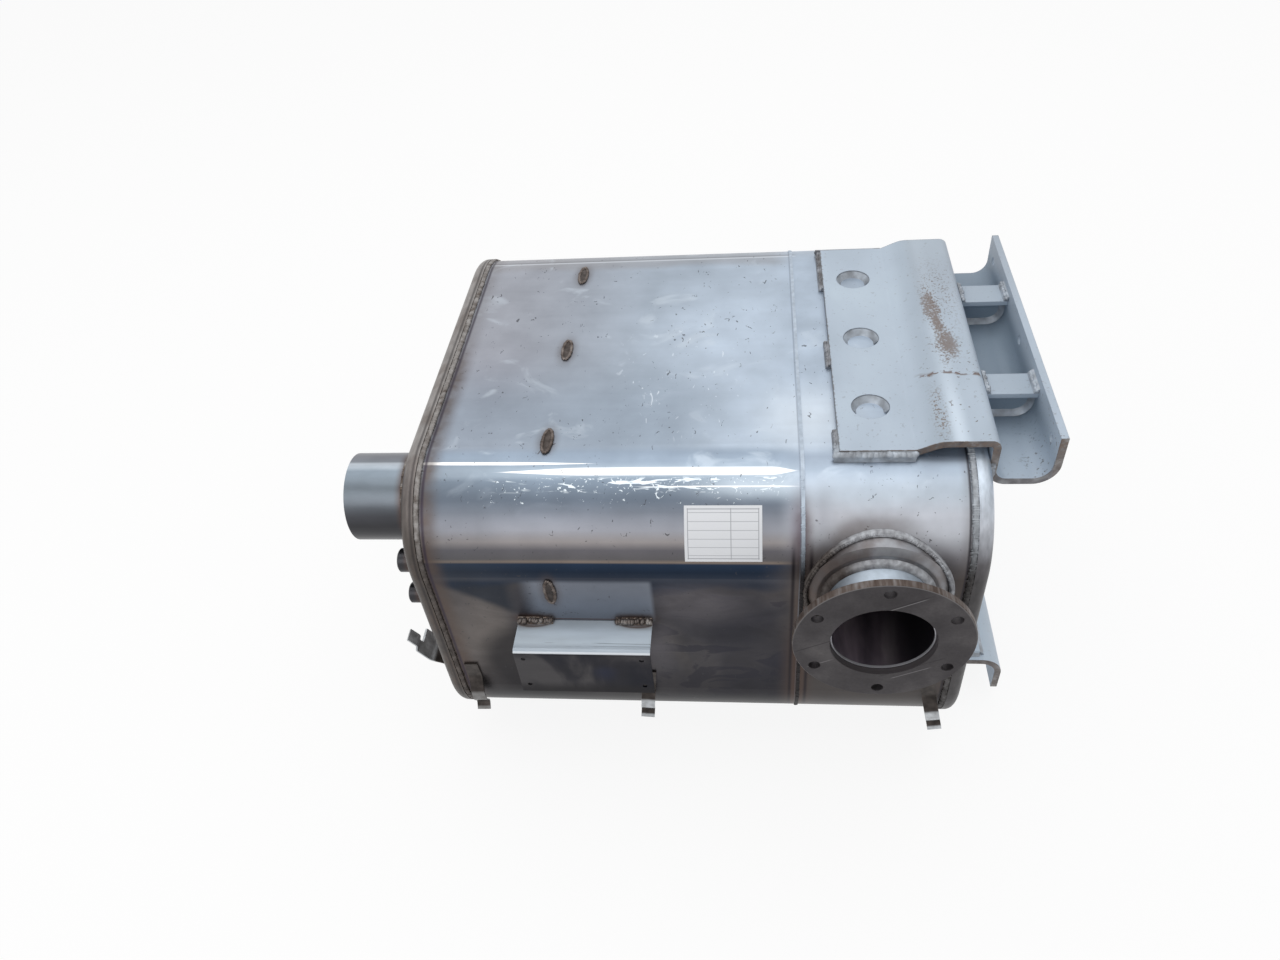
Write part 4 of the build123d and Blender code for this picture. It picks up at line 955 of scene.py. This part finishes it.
RIPPLES = ripple_tree()
PITCH, UNEVEN = 0.0024, 0.35
BELOW_TOP = [point for point in body_loop(JOINT_X, 0.0004) if point[0][2] < TOP_Z - 0.006]
BEADS = [  # name, paths, a scale's length, width and height, look, pitch and unevenness
    ("seam_outlet", [body_loop(LEFT_SEAM_X + 0.0030, 0.0013)], (0.0034, 0.0066, 0.0034), "seam_weld", PITCH, UNEVEN),
    ("seam_inlet", [body_loop(RIGHT_SEAM_X - 0.0026, 0.0013)], (0.0034, 0.0088, 0.0034), "edge_weld", PITCH, UNEVEN),
    ("joint", [BELOW_TOP], (0.0030, 0.0044, 0.0020), "joint_weld", PITCH, UNEVEN),
    ("collar_foot", [collar_ring(FOOT_WELD_R, 0.0022)], (0.0036, 0.0056, 0.0046), "collar_weld", PITCH, UNEVEN),
    ("collar_neck", [ring_y(NECK_WELD_R, NECK_WELD_Y)], (0.0036, 0.0048, 0.0040), "collar_weld", PITCH, UNEVEN),
    ("outlet", [ring_x(PIPE_Y, PIPE_Z, OUTLET_WELD_R, CAP_FACE_X - 0.0014)], (0.0030, 0.0050, 0.0034),
     "brown_weld", PITCH, UNEVEN),
    ("top_bracket", straight_beads("bracket_top_welds"), (0.0058, 0.0052, 0.0056), "painted_weld", 0.0042, UNEVEN),
    ("bottom_bracket", straight_beads("bracket_bottom_welds"), (0.0058, 0.0052, 0.0056), "painted_weld",
     0.0042, UNEVEN),
    ("front_bracket", straight_beads("front_bracket_welds"), (0.0056, 0.0090, 0.0080), "bead_core", 0.0026, 0.9),
    ("plugs", plug_paths(), (0.0034, 0.0042, 0.0028), "plug_weld", 0.0022, 0.2),
    ("end_run", [end_run()], (0.0090, 0.0080, 0.0074), "painted_weld", 0.0062, 0.3),
]
for seed, (name, paths, size, look, pitch, uneven) in enumerate(BEADS, start=1):
    lay_ripples("ripples_" + name, paths, size, look, seed, pitch, uneven)


# Floor, world, lamps and camera
def pale_when_seen(tree, seen, lit):
    """Mixes in the seen shader for camera, glossy and transmission rays."""
    rays = add_node(tree, "ShaderNodeLightPath", {})
    joined = rays["Is Camera Ray"]
    for name in ("Is Glossy Ray", "Is Transmission Ray"):
        joined = add_node(tree, "ShaderNodeMath", {0: joined, 1: rays[name]}, operation="MAXIMUM")[0]
    return add_node(tree, "ShaderNodeMixShader", {0: joined, 1: lit, 2: seen})[0]


def make_world():
    world = bpy.data.worlds.new("studio")
    bpy.context.scene.world = world
    world.use_nodes = True
    tree = world.node_tree
    tree.nodes.clear()
    seen, lit = tree.nodes.new("ShaderNodeBackground"), tree.nodes.new("ShaderNodeBackground")
    seen.inputs[0].default_value = (1.0, 1.0, 1.0, 1.0)
    lit.inputs[0].default_value = (1.0, 1.0, 1.0, 1.0)
    lit.inputs[1].default_value = WORLD_STRENGTH
    out = tree.nodes.new("ShaderNodeOutputWorld")
    tree.links.new(pale_when_seen(tree, seen.outputs[0], lit.outputs[0]), out.inputs[0])


def make_floor():
    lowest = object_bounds()[0][2]
    bpy.ops.mesh.primitive_plane_add(size=FLOOR_SIZE, location=(0, 0, lowest - 0.001))
    floor = bpy.context.object
    floor.name = "floor"
    g = Graph("floor")
    diffuse = g.tree.nodes.new("ShaderNodeBsdfDiffuse")
    diffuse.inputs[0].default_value = (0.96, 0.96, 0.96, 1.0)
    white = g.tree.nodes.new("ShaderNodeEmission")
    pale = g.tree.nodes.new("ShaderNodeMixShader")
    pale.inputs[0].default_value = FLOOR_PALENESS
    g.tree.links.new(diffuse.outputs[0], pale.inputs[1])
    g.tree.links.new(white.outputs[0], pale.inputs[2])
    g.tree.links.new(pale_when_seen(g.tree, pale.outputs[0], diffuse.outputs[0]), g.out.inputs[0])
    floor.data.materials.append(g.material)


def make_lamp(name, place, target, size, power):
    lamp = bpy.data.lights.new(name, "AREA")
    lamp.shape = "RECTANGLE"
    lamp.size, lamp.size_y = size
    lamp.energy = power
    holder = bpy.data.objects.new(name, lamp)
    bpy.context.collection.objects.link(holder)
    holder.location = place
    holder.rotation_euler = (Vector(target) - Vector(place)).to_track_quat("-Z", "Y").to_euler()


def make_camera():
    camera = bpy.data.cameras.new("camera")
    camera.lens = CAMERA_LENS
    camera.sensor_width = SENSOR_WIDTH
    camera.clip_start = 0.01
    holder = bpy.data.objects.new("camera", camera)
    bpy.context.collection.objects.link(holder)
    holder.location = CAMERA_PLACE
    holder.rotation_euler = Euler([radians(angle) for angle in CAMERA_TURN], "XYZ")
    bpy.context.scene.camera = holder


make_world()
make_floor()
make_camera()
CENTRE = ((LEFT_SEAM_X + RIGHT_SEAM_X) / 2, MIDDLE_Y, MIDDLE_Z)
make_lamp("sky", (-0.2, 0.7, 2.8), CENTRE, (3.6, 2.8), 34.0)
make_lamp("front_fill", (-1.6, -2.2, 1.9), CENTRE, (2.2, 1.8), 18.0)
bpy.context.scene.view_settings.view_transform = "Standard"
